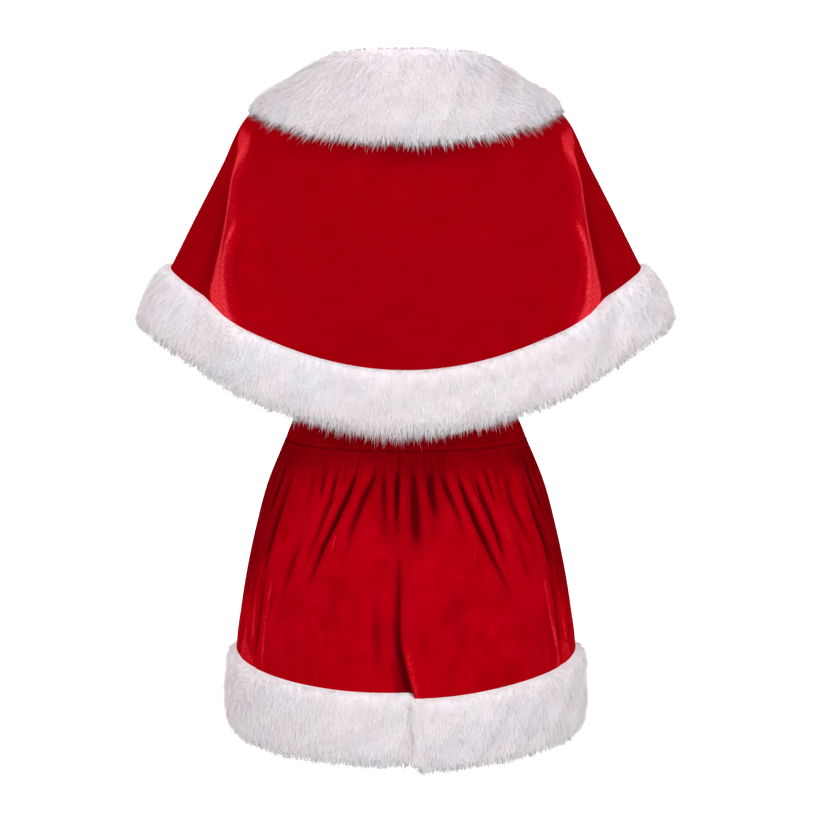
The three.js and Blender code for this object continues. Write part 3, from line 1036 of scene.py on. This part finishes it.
def grid_piece(name: str, columns: int, rows: int, place: Surface, cut: tuple[float, float],
               closed: bool = False) -> Piece:
    """Lay a flat grid and move each of its points to its place on the cloth.

    Args:
        name: The piece's name.
        columns: Squares across.
        rows: Squares from the bottom to the top.
        place: Gives points in millimetres for shares across and upwards, from 0 to 1.
        cut: The cut's width and length in millimetres, which its UV map is in, as metres.
        closed: Whether edges that come together are joined.

    Returns:
        The piece.
    """
    deselect()
    bpy.ops.mesh.primitive_grid_add(x_subdivisions=columns, y_subdivisions=rows, size=2.0)
    piece = bpy.context.object
    piece.name = piece.data.name = name
    flat = vertex_places(piece)
    across, up = (flat[:, 0] + 1.0) / 2.0, (flat[:, 1] + 1.0) / 2.0
    corners = np.empty(len(piece.data.loops), dtype=np.int32)
    piece.data.loops.foreach_get("vertex_index", corners)
    unrolled = np.stack([across * cut[0], up * cut[1]], axis=-1) * MM
    piece.data.uv_layers.active.data.foreach_set("uv", unrolled[corners].ravel())
    moved = place(across, up) * MM
    piece.data.vertices.foreach_set("co", moved.ravel())
    piece.data.update()
    if closed:
        join_edges(piece)
    bpy.ops.object.shade_smooth()
    return piece


def all_round(across: Array, up: Array) -> tuple[Array, Array]:
    """Give a grid's turns and shares of a profile, where its last column and row meet the first."""
    return np.where(across > LAST_SHARE, -90.0, 360.0 * across - 90.0), np.where(up > LAST_SHARE, 0.0, up)


def meshed(mesh: bpy.types.Mesh, finish: Material) -> Piece:
    """Make a piece of a mesh, with one finish."""
    piece = bpy.data.objects.new(mesh.name, mesh)
    bpy.context.collection.objects.link(piece)
    piece.data.materials.append(finish)
    return piece


def edit_whole(piece: Piece, operator: Callable, **options: object) -> None:
    """Run an operator on the whole of a piece in edit mode.

    Args:
        piece: The piece.
        operator: The operator.
        options: Its options.
    """
    choose(piece)
    bpy.ops.object.mode_set(mode="EDIT")
    bpy.ops.mesh.select_all(action="SELECT")
    operator(**options)
    bpy.ops.object.mode_set(mode="OBJECT")


def join_edges(piece: Piece) -> None:
    """Join the edges of a piece that come together."""
    edit_whole(piece, bpy.ops.mesh.remove_doubles, threshold=1e-5)


def painted_light(piece: Piece, cloth: Cloth, turn: Array, at: Array) -> None:
    """Keep the velvet's painted light and shade at each vertex, for the velvet to read."""
    nap_and_painted_light = piece.data.attributes.new("nap_and_painted_light", "FLOAT", "POINT")
    nap_and_painted_light.data.foreach_set("value", cloth.nap_and_painted_light(turn, at).astype(np.float32))


def thicken(piece: Piece, thickness: float) -> None:
    """Give a sheet its thickness inwards, with the second material inside.

    Args:
        piece: The sheet.
        thickness: The thickness in millimetres.
    """
    choose(piece)
    bpy.ops.object.modifier_add(type="SOLIDIFY")
    wall = piece.modifiers[-1]
    wall.thickness = thickness * MM
    wall.offset = -1.0
    wall.material_offset = 1
    bpy.ops.object.modifier_apply(modifier=wall.name)
    bpy.ops.object.shade_smooth_by_angle(angle=math.radians(70.0))


def hand_in(piece: Piece, slot: str, *nodes: str) -> Piece:
    """Ride a piece on the body, hide the CAD parts that it stands for, and log its triangle count.

    Args:
        piece: The finished piece.
        slot: Not used.
        nodes: The CAD nodes that it replaces.

    Returns:
        The piece.
    """
    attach(piece, BODY)
    if nodes:
        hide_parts(*nodes)
    count = sum(len(face.vertices) - 2 for face in piece.data.polygons)
    log.info("%s: %d triangles", piece.name, count)
    return piece


class Wardrobe:
    """The finishes, each built once."""

    def __init__(self) -> None:
        """Build the finishes."""
        self.velvet = Velvet("cape_velvet", 0.3).material()
        # The skirt's velvet, whose bright tone is also its painted highlight
        self.crushed = Velvet(
            "skirt_velvet", 0.8, deep=(0.345, 0.0, 0.003), bright=(0.49, 0.0, 0.007)).material()
        self.knit = KnitBack().material()
        self.fur = FauxFur().material()
        self.backing = Plain("fur_backing", (0.66, 0.63, 0.62), darker=0.86, scale=900.0, detail=2.0,
                             roughness=0.95, specular=0.5, relief=0.0005).material()
        self.thread = Plain("red_thread", (0.42, 0.0, 0.006), darker=0.7, scale=2600.0, detail=1.0,
                            roughness=0.8, specular=0.0).material()


@dataclass(frozen=True)
class Panel:
    """A velvet panel that covers the back or the front half, from one side seam to the other."""

    name: str
    half: Half
    top: float
    bottom: float
    columns: int
    rows: int
    cut: tuple[float, float]
    crushed: bool = False
    seam_gap: float = 0.3
    wall: float = 1.2
    pucker: float = 1.4
    pucker_reach: float = 1.6
    pucker_core: float = 0.2

    def build(self, cloth: Cloth, finishes: Wardrobe) -> Piece:
        """Make the panel.

        Args:
            cloth: The garment's cloth.
            finishes: The finishes.

        Returns:
            The panel, a thin shell.
        """
        laid: dict[str, Array] = {}

        def place(across: Array, up: Array) -> Array:
            """Give the panel's points, and keep their turns and sections."""
            at = self.bottom + (self.top - self.bottom) * up
            side = cloth.form.seam_turn(at, self.half, self.seam_gap)
            share = 2.0 * across - 1.0
            turn = self.half.value + share * side
            to_seam = (1.0 - np.abs(share)) * side
            dip = self.pucker * (bell(to_seam, self.pucker_core) - bell(to_seam, self.pucker_reach))
            laid.update(turn=turn, at=at)
            return cloth.point(turn, at) + cloth.outward(turn, at) * dip[:, None]

        piece = grid_piece(self.name, self.columns, self.rows, place, self.cut)
        # Keep the panel's painted light and shade
        painted_light(piece, cloth, laid["turn"], laid["at"])
        piece.data.materials.append(finishes.crushed if self.crushed else finishes.velvet)
        piece.data.materials.append(finishes.knit)
        thicken(piece, self.wall)
        return piece


def rounded(profile: Sequence[tuple[float, float]], count: int) -> Array:
    """Draw a closed curve through the points of a profile, evenly divided.

    Args:
        profile: Places down the band and lifts above the cloth, in millimetres.
        count: How many points to give.

    Returns:
        The curve's points, the first again at the end.
    """
    knots = np.array(profile, dtype=float)
    fine = []
    for k in range(len(knots)):
        a, b, c, d = (knots[(k + j) % len(knots)] for j in (-1, 0, 1, 2))
        t = np.linspace(0.0, 1.0, 24, endpoint=False)[:, None]
        fine.append(b + ROUNDNESS * 0.5 * t * bend(a, b, c, d, t) + (1.0 - ROUNDNESS) * t * (c - b))
    curve = np.vstack([*fine, knots[:1]])
    way = way_along(curve)
    even = np.linspace(0.0, way[-1], count)
    return np.stack([np.interp(even, way, curve[:, k]) for k in range(2)], axis=-1)


@dataclass(frozen=True)
class FurBand:
    """A band of fur fabric all round a garment: its backing and body, and the strands on it.

    profile is the solid's, from the outside of its top edge round to its inside. at_zero and pitch
    turn a distance down the band into a section, and pitch_above holds above its top edge.
    """

    name: str
    profile: tuple[tuple[float, float], ...]
    outer: int
    at_zero: float
    pitch: float
    pitch_above: float
    columns: int
    rows: int
    strands: int
    fringe: int
    fringe_from: float
    pile: float
    seed: int
    lean: float = 24.0
    blade: float = 0.55
    tuft: float = 8.5
    body_reach: float = 0.86
    body_lift: float = 0.72
    shorter: float = 0.0
    shorter_reach: float = 42.0
    middle_tuft: float = 0.0
    middle_reach: float = 4.5
    row_height: float = 11.0
    stagger: float = 0.37
    bend_at: float = 0.55
    past_tip: float = 0.035
    combed_from: float = 10.0
    combed_to: float = 40.0
    lean_sway: float = 4.0
    lean_scatter: float = 5.0
    swirl_sway: float = 0.14
    swirl_scatter: float = 0.15
    sizes: tuple[float, float] = (0.75, 1.15)
    tuft_sizes: tuple[float, float] = (0.7, 1.15)
    fringe_sizes: tuple[float, float] = (0.6, 1.9)
    blade_sizes: tuple[float, float] = (0.7, 1.2)
    pull_sizes: tuple[float, float] = (0.6, 1.2)
    edge_reach: float = 8.0
    rooted: float = 0.8
    lumps: tuple[Triple, ...] = ((1.1, 52.0, 0), (0.4, 19.0, 2))
    ruffle: float = 0.1

    def at(self, down: Array) -> Array:
        """Give the section at a distance down the band."""
        return self.at_zero + np.where(down < 0, down / self.pitch_above, down / self.pitch)

    def body_profile(self) -> list[tuple[float, float]]:
        """Give the profile less the room that the strands fill, on its outer side."""
        outside, inside = self.profile[:self.outer], self.profile[self.outer:]
        longest = outside[-1][0] * (self.body_reach - 0.01)
        return ([(down * self.body_reach, lift * self.body_lift) for down, lift in outside]
                + [(min(down, longest), lift) for down, lift in inside])

    def outline(self) -> tuple[Array, Array, float]:
        """Give the body's curve, its points' shares of the way round, and the share of its lower tip."""
        curve = rounded(self.body_profile(), PROFILE_POINTS)
        way = np.linspace(0.0, 1.0, len(curve))
        return curve, way, way[np.argmax(curve[:, 0])]

    def loops(self, cloth: Cloth, turn: Array, share: Array) -> Array:
        """Give the points of the body.

        Args:
            cloth: The garment's cloth.
            turn: The turns of the places.
            share: How far round the profile they are, from 0 to 1.

        Returns:
            Points in millimetres.
        """
        curve, way, _ = self.outline()
        down, lift = (np.interp(np.mod(share, 1.0), way, curve[:, k]) for k in range(2))
        down = down * (1.0 - self.shorter * bell(turn_from(turn, 0.0), self.shorter_reach))
        at = self.at(down)
        base = cloth.point(turn, at)
        outer = ramp(lift, 1.0, 6.0)
        lumps = sum(high * swell(base, size, self.seed + shift) for high, size, shift in self.lumps)
        return base + cloth.outward(turn, at) * (lift + lumps * outer)[..., None]

    def build(self, cloth: Cloth, finishes: Wardrobe) -> Piece:
        """Make the body of the band.

        Args:
            cloth: The garment's cloth.
            finishes: The finishes.

        Returns:
            The body, closed all round.
        """

        def place(across: Array, up: Array) -> Array:
            """Give the body's points."""
            turn, share = all_round(across, up)
            return self.loops(cloth, turn, 1.0 - share)

        cut = (1440.0, 220.0)
        piece = grid_piece(f"{self.name}_body", self.columns, self.rows, place, cut, closed=True)
        piece.data.materials.append(finishes.fur)
        piece.data.materials.append(finishes.backing)
        self.mark_backing(piece)
        return piece

    def mark_backing(self, piece: Piece) -> None:
        """Give the inner side of the band the plain backing."""
        backing_from = self.outline()[2] + 0.02
        for face in piece.data.polygons:
            share = 1.0 - (face.index // self.columns + 0.5) / self.rows
            face.material_index = int(share > backing_from)

    def strand_piece(self, cloth: Cloth, finishes: Wardrobe) -> Piece:
        """Make the strands, a joined mesh of small tapered blades combed down the band.

        Args:
            cloth: The garment's cloth.
            finishes: The finishes.

        Returns:
            The strands as one mesh.
        """
        rng = np.random.default_rng(self.seed)
        curve, way, tip = self.outline()
        turns, shares = np.meshgrid(np.linspace(-90.0, 270.0, 481),
                                    np.linspace(0.0, tip + self.past_tip, 61), indexing="ij")
        points = self.loops(cloth, turns, shares)
        around = np.gradient(points, axis=0)
        around[[0, -1]] = points[1] - points[0]
        down = np.gradient(points, axis=1)
        normals = unit(np.cross(down, around))
        downs = np.interp(np.mod(shares, 1.0), way, curve[:, 0])
        at = self.at(downs)
        falling = unit(cloth.point(turns, at + 0.06) - cloth.point(turns, at - 0.06))
        fallen = ramp(downs, self.combed_from, self.combed_to)[..., None]
        comb = unit(unit(down) * (1.0 - fallen) + falling * fallen)
        area = np.linalg.norm(np.cross(down, around), axis=-1)[:-1, :-1]
        edge = downs[:-1, :-1] > self.fringe_from
        picks = []
        for count, weight in ((self.strands, area), (self.fringe, area * edge)):
            share = (weight / weight.sum()).ravel()
            picks.append(rng.choice(share.size, size=count, p=share))
        pick = np.concatenate(picks)
        is_fringe = np.arange(len(pick)) >= self.strands
        i, j = np.divmod(pick, area.shape[1])
        u, v = rng.random(len(pick))[:, None], rng.random(len(pick))[:, None]

        def read(values: Array) -> Array:
            """Read values on the grid where the strands stand."""
            top = values[i, j] * (1 - u) + values[i + 1, j] * u
            low = values[i, j + 1] * (1 - u) + values[i + 1, j + 1] * u
            return top * (1 - v) + low * v

        root, normal, combed = read(points), unit(read(normals)), unit(read(comb))
        degrees = read(turns[..., None])[:, 0]
        depth = read(downs[..., None])[:, 0]
        at_top = 1.0 - ramp(depth, 0.0, 12.0)
        lean = self.lean + self.lean_sway * swell(root, 27.0, self.seed + 5)
        lean = np.radians(lean + rng.normal(0, self.lean_scatter, len(pick)))
        lean *= np.where(is_fringe, 0.5, 1.0)
        side = unit(np.cross(normal, combed))
        swirl = self.swirl_sway * swell(root, 41.0, self.seed + 9)
        swirl = swirl + rng.normal(0, self.swirl_scatter, len(pick))
        along, out = combed * np.cos(lean)[:, None], normal * np.sin(lean)[:, None]
        way_out = unit(along + out + side * swirl[:, None])
        round_middle = way_along(points[:, points.shape[1] // 2])
        arc = np.interp(i + u[:, 0], np.arange(len(points)), round_middle)
        row = np.floor(depth / self.row_height)
        tuft = self.tuft * (1.0 + 0.25 * np.sin(row * 2.1))
        cell = np.floor(arc / tuft + self.stagger * row)
        off_middle = (cell + 0.5 - self.stagger * row) * tuft - arc
        pointed = 1.1 - 0.45 * np.abs(off_middle) / tuft
        uneven = np.interp(arc / (0.6 * tuft), np.arange(997), rng.uniform(*self.tuft_sizes, 997))
        size = self.pile * rng.uniform(*self.sizes, len(pick)) * (1.0 - 0.4 * at_top)
        near_edge = ramp(depth, self.fringe_from - self.edge_reach, self.fringe_from + self.edge_reach)
        size = size * (1.0 + near_edge * (0.8 * uneven * pointed - 1.0))
        size = size * (1.0 + self.middle_tuft * bell(degrees, self.middle_reach) * near_edge)
        size = np.where(is_fringe, size * rng.uniform(*self.fringe_sizes, len(pick)), size)[:, None]
        blade = self.blade * rng.uniform(*self.blade_sizes, len(pick)) * np.where(is_fringe, 0.7, 1.0)
        width = unit(np.cross(way_out, normal)) * blade[:, None] / 2
        middle = root + way_out * size * self.bend_at
        tip_way = unit(way_out + 0.35 * combed - 0.12 * normal)
        end = middle + tip_way * size * 0.45
        pull = np.where(is_fringe, 0.35, 0.15)
        end = end + side * (off_middle * pull * rng.uniform(*self.pull_sizes, len(pick)))[:, None]
        start = root - normal * self.rooted
        bent = 0.8 * width
        corners = np.stack([start - width, start + width, middle + bent, middle - bent, end], 1)
        soft = unit(normal + self.ruffle * rng.normal(0, 1, normal.shape))
        return meshed(self.strand_mesh(corners, soft), finishes.fur)

    def strand_mesh(self, corners: Array, normals: Array) -> bpy.types.Mesh:
        """Join blades into one mesh, each a four-cornered stem and a pointed tip.

        Args:
            corners: The five corners of each blade, in millimetres.
            normals: Each blade's shading normal.

        Returns:
            The mesh.
        """
        count = len(corners)
        first = np.arange(count)[:, None] * 5
        indices = np.concatenate([(first + [0, 1, 2, 3]).ravel(), (first + [3, 2, 4]).ravel()])
        starts = np.concatenate([np.arange(count) * 4, count * 4 + np.arange(count) * 3])
        mesh = bpy.data.meshes.new(f"{self.name}_strands")
        mesh.vertices.add(count * 5)
        mesh.vertices.foreach_set("co", (corners * MM).ravel())
        mesh.loops.add(len(indices))
        mesh.loops.foreach_set("vertex_index", indices)
        mesh.polygons.add(2 * count)
        mesh.polygons.foreach_set("loop_start", starts)
        mesh.update(calc_edges=True)
        mesh.polygons.foreach_set("use_smooth", np.ones(2 * count, dtype=bool))
        along = mesh.attributes.new("along", "FLOAT", "POINT")
        along.data.foreach_set("value", np.tile([0.0, 0.0, self.bend_at, self.bend_at, 1.0], count))
        mesh.normals_split_custom_set_from_vertices(np.repeat(normals, 5, axis=0))
        return mesh


@dataclass(frozen=True)
class Casing:
    """The elastic casing: velvet folded over an elastic band and gathered all round."""

    columns: int = 540
    rows: int = 22
    height: float = 38.0
    rib_depths: tuple[float, float] = (0.35, 1.15)
    rib_spreads: tuple[float, float] = (0.45, 0.75)
    rib_slants: tuple[float, float] = (-0.35, 0.35)
    rib_steps: tuple[float, float] = (1.5, 2.7)
    profile: tuple[tuple[float, float], ...] = (
        (0, 0), (12, 1), (26, 0.8), (36, 0.1), (38, -0.1), (38.1, -0.6), (38, -2), (20, -3.4), (1, -2.4),
    )

    def build(self, cloth: Cloth, finishes: Wardrobe) -> Piece:
        """Make the casing.

        Args:
            cloth: The skirt's cloth.
            finishes: The finishes.

        Returns:
            The casing, closed all round.
        """
        half = self.height / 2
        rng = np.random.default_rng(12)
        ribs, turn = [], 0.0
        while turn < 358.8:
            ribs.append((turn, rng.uniform(*self.rib_depths), rng.uniform(*self.rib_spreads),
                         rng.uniform(*self.rib_slants)))
            turn += rng.uniform(*self.rib_steps)
        curve = rounded(self.profile, 161)
        steps = np.linspace(0.0, 1.0, len(curve))
        laid: dict[str, Array] = {}

        def place(across: Array, up: Array) -> Array:
            """Give the casing's points, and keep their turns and how far down they are."""
            turn, share = all_round(across, up)
            down, lift = (np.interp(1.0 - share, steps, curve[:, k]) for k in range(2))
            laid.update(turn=turn, at=down / self.height)
            at = down / self.height * CASING_END
            outer = ramp(lift, -2.2, -0.2)
            for rib, deep, spread, slant in ribs:
                centre = rib + slant * (down - half) / half
                lift = lift - deep * outer * bell(turn_from(turn, centre), spread)
            edge = 0.5 * np.sin(np.radians(turn) * 61.0) + 0.4 * np.sin(np.radians(turn) * 37.0 + 1.0)
            rise = edge * (1.0 - ramp(down, 0.0, 5.0))
            points = cloth.lifted(turn, at, lift)
            points[:, 2] += rise
            return points

        piece = grid_piece("waist_casing_velvet", self.columns, self.rows, place, (720.0, 80.0))
        # Keep the casing's painted light and shade, with the painted shadow below the cape's hem
        painted_light(piece, cloth, laid["turn"], laid["at"])
        join_edges(piece)
        piece.data.materials.append(finishes.crushed)
        return piece


@dataclass(frozen=True)
class Stitches:
    """A row of machine stitches round a garment, each a short rounded length of thread."""

    name: str
    at: float
    lift: float
    length: float = 3.1
    pitch: float = 4.2
    radius: float = 0.34

    def build(self, cloth: Cloth, finishes: Wardrobe) -> Piece:
        """Make the row as one mesh.

        Args:
            cloth: The garment's cloth.
            finishes: The finishes.

        Returns:
            The stitches.
        """
        turns = np.linspace(-90.0, 270.0, 2881)
        line = cloth.lifted(turns, np.full(turns.shape, self.at), np.full(turns.shape, self.lift))
        way = way_along(line)
        count = int(way[-1] // self.pitch)
        starts = np.arange(count) * way[-1] / count
        shares = np.array([0.0, 0.12, 0.5, 0.88, 1.0])
        widths = np.array([0.25, 0.9, 1.0, 0.9, 0.25]) * self.radius
        places = starts[:, None] + shares * self.length
        middle = np.stack([np.interp(places, way, line[:, k]) for k in range(3)], axis=-1)
        ahead = unit(np.gradient(middle, axis=1))
        up = np.array([0.0, 0.0, 1.0])
        out = unit(np.cross(ahead, up))
        rise = np.cross(out, ahead)
        angles = np.radians(np.arange(6) * 60.0)
        ring = out[:, :, None] * np.cos(angles)[:, None] + rise[:, :, None] * np.sin(angles)[:, None]
        points = middle[:, :, None] + ring * widths[:, None, None]
        sides = [(k, (k + 1) % 6, (k + 1) % 6 + 6, k + 6) for k in range(6)]
        walls = [tuple(6 * row + k for k in side) for row in range(4) for side in sides]
        faces = [tuple(30 * stitch + k for k in face) for stitch in range(count)
                 for face in (*walls, tuple(range(5, -1, -1)), tuple(range(24, 30)))]
        mesh = bpy.data.meshes.new(self.name)
        mesh.from_pydata((points.reshape(-1, 3) * MM).tolist(), [], faces)
        piece = meshed(mesh, finishes.thread)
        edit_whole(piece, bpy.ops.mesh.normals_make_consistent, inside=False)
        bpy.ops.object.shade_smooth()
        return piece


HEM_PROFILE = ((0.3, 0.5), (5, 9), (18, 13), (42, 14), (64, 12), (76, 7), (80, 1), (75, -3), (45, -4),
               (12, -4), (0.3, -4))


@dataclass
class Cape:
    """The shoulder cape: two velvet panels, the fur collar and the fur hem."""

    cloth: CapeCloth = CapeCloth()
    trim_cloth: CapeCloth = CapeCloth(kept=0.7)
    back: Panel = Panel("cape_back_velvet", Half.BACK, NECK_EDGE, CAPE_SEAM + 0.03, 220, 84, (620, 350))
    front: Panel = Panel("cape_front_velvet", Half.FRONT, NECK_EDGE, CAPE_SEAM + 0.03, 200, 76, (620, 320))
    collar: FurBand = FurBand(
        name="collar_fur",
        profile=((-9, 3), (-7, 11), (8, 15), (32, 16), (60, 15), (84, 13), (98, 7), (100, 0.3),
                 (75, 0.3), (50, 0.3), (25, 0.3), (0, 0.3), (-0.3, -3), (-6, -3)),
        outer=7, at_zero=NECK_EDGE, pitch=50.0, pitch_above=12.0, columns=300, rows=44,
        strands=46000, fringe=10000, fringe_from=74.0, pile=12.0, seed=3, body_reach=0.915)
    trim: FurBand = FurBand(
        name="cape_trim_fur",
        profile=HEM_PROFILE, outer=7, at_zero=CAPE_SEAM, pitch=78.0, pitch_above=78.0, columns=320, rows=36,
        strands=50000, fringe=8000, fringe_from=56.0, pile=11.0, seed=11, shorter=0.19,
        shorter_reach=26.0, middle_tuft=0.3)

    def build(self, finishes: Wardrobe) -> None:
        back = hand_in(self.back.build(self.cloth, finishes), "velvet", "cape_back")
        front = hand_in(self.front.build(self.cloth, finishes), "velvet", "cape_front")
        collar = hand_in(self.collar.build(self.cloth, finishes), "fur", "collar")
        collar_strands = hand_in(self.collar.strand_piece(self.cloth, finishes), "fur")
        trim = hand_in(self.trim.build(self.trim_cloth, finishes), "fur", "cape_trim")
        trim_strands = hand_in(self.trim.strand_piece(self.trim_cloth, finishes), "fur")


@dataclass
class Skirt:
    """The mini skirt: the elastic casing, two gathered velvet panels and the fur hem."""

    cloth: SkirtCloth = SkirtCloth()
    trim_cloth: SkirtCloth = SkirtCloth(kept=0.5)
    casing: Casing = Casing()
    stitches: Stitches = Stitches("waist_stitches", CASING_END - 0.01, 0.1)
    back: Panel = Panel(
        "skirt_back_velvet", Half.BACK, CASING_END + 0.006, SKIRT_SEAM + 0.03, 360, 92, (520, 260), True)
    front: Panel = Panel(
        "skirt_front_velvet", Half.FRONT, CASING_END + 0.006, SKIRT_SEAM + 0.03, 300, 84, (500, 255), True)
    trim: FurBand = FurBand(
        name="skirt_trim_fur",
        profile=HEM_PROFILE, outer=7, at_zero=SKIRT_SEAM, pitch=80.0, pitch_above=80.0, columns=300,
        rows=36, strands=46000, fringe=6000, fringe_from=56.0, pile=11.0, seed=23)

    def build(self, finishes: Wardrobe) -> None:
        casing = hand_in(self.casing.build(self.cloth, finishes), "velvet", "waist_casing")
        back = hand_in(self.back.build(self.cloth, finishes), "velvet", "skirt_back")
        front = hand_in(self.front.build(self.cloth, finishes), "velvet", "skirt_front")
        trim = hand_in(self.trim.build(self.trim_cloth, finishes), "fur", "skirt_trim")
        strands = hand_in(self.trim.strand_piece(self.trim_cloth, finishes), "fur")
        hand_in(self.stitches.build(self.cloth, finishes), "velvet")


@dataclass(frozen=True)
class Lamp:
    """A soft square light: its place and its side in metres, and its power in watts."""

    name: str
    place: Triple
    size: float
    power: float


@dataclass
class Studio:
    """The pale cove, the soft lights and the camera."""

    lamps: tuple[Lamp, ...] = (
        Lamp("key", (-0.7, -2.9, 1.3), 1.3, 22.0),
        Lamp("fill", (1.5, -2.6, 0.0), 1.6, 8.0),
        Lamp("top", (0.0, -0.9, 2.2), 1.2, 9.0),
    )
    aim: float = -0.35
    eye: Triple = (2.7, -2800.0, 10.0)
    tilt: float = 7.4977
    lens: float = 115.76
    sensor: float = 36.0
    floor: float = -1450.0

    def build(self) -> None:
        """Set up the cove, the world, the lights and the camera."""
        self.cove()
        self.world()
        for lamp in self.lamps:
            self.hang(lamp)
        self.camera()

    def cove(self) -> None:
        """Lay the floor and raise it all round into a wall, as one smooth sheet."""
        outline = np.array([(0.0, 0.0), (3800.0, 0.0), (4600.0, 90.0), (5200.0, 500.0),
                            (5450.0, 1200.0), (5500.0, 7500.0)])
        way = way_along(outline)

        def place(across: Array, up: Array) -> Array:
            """Give the cove's points."""
            angle = np.radians(np.where(across > LAST_SHARE, 0.0, -360.0 * across))
            out, rise = (np.interp(up * way[-1], way, outline[:, k]) for k in range(2))
            return np.stack([out * np.cos(angle), out * np.sin(angle), self.floor + rise], axis=-1)

        cove = grid_piece("cove", 96, 60, place, (1.0, 1.0), closed=True)
        cove.data.materials.append(Dye("pale_floor").finished(
            Base_Color=(0.88, 0.88, 0.885), Roughness=0.9, Emission_Color=(1.0, 1.0, 1.0),
            Emission_Strength=1.0))
        cove.visible_glossy = False
        cove.visible_diffuse = False

    def world(self) -> None:
        """Give the studio its soft light from above."""
        world = bpy.data.worlds.new("studio_sky")
        world.use_nodes = True
        shade = world.node_tree.nodes["Background"]
        shade.inputs["Color"].default_value = (1.0, 1.0, 1.0, 1.0)
        shade.inputs["Strength"].default_value = 0.8
        bpy.context.scene.world = world

    def hang(self, lamp: Lamp) -> None:
        """Hang a soft light that faces the costume."""
        bpy.ops.object.light_add(type="AREA", location=lamp.place)
        light = bpy.context.object
        light.name = lamp.name
        light.data.size = lamp.size
        light.data.energy = lamp.power
        light.visible_camera = False
        x, y, z = (-lamp.place[0], -lamp.place[1], self.aim - lamp.place[2])
        light.rotation_euler = (math.atan2(math.hypot(x, y), -z), 0.0, math.atan2(y, x) - math.pi / 2)

    def camera(self) -> None:
        """Place the camera at the photo's viewing angle."""
        place = tuple(value * MM for value in self.eye)
        turned = (math.radians(90.0 - self.tilt), 0.0, 0.0)
        bpy.ops.object.camera_add(location=place, rotation=turned)
        camera = bpy.context.object
        camera.data.lens = self.lens
        camera.data.sensor_width = self.sensor
        bpy.context.scene.camera = camera
        bpy.context.scene.view_settings.view_transform = "Standard"


def main() -> None:
    """Build the costume and the studio."""
    logging.basicConfig(level=logging.INFO, format="%(message)s")
    Studio().build()
    finishes = Wardrobe()
    Cape().build(finishes)
    Skirt().build(finishes)


if __name__ == "__main__":
    main()
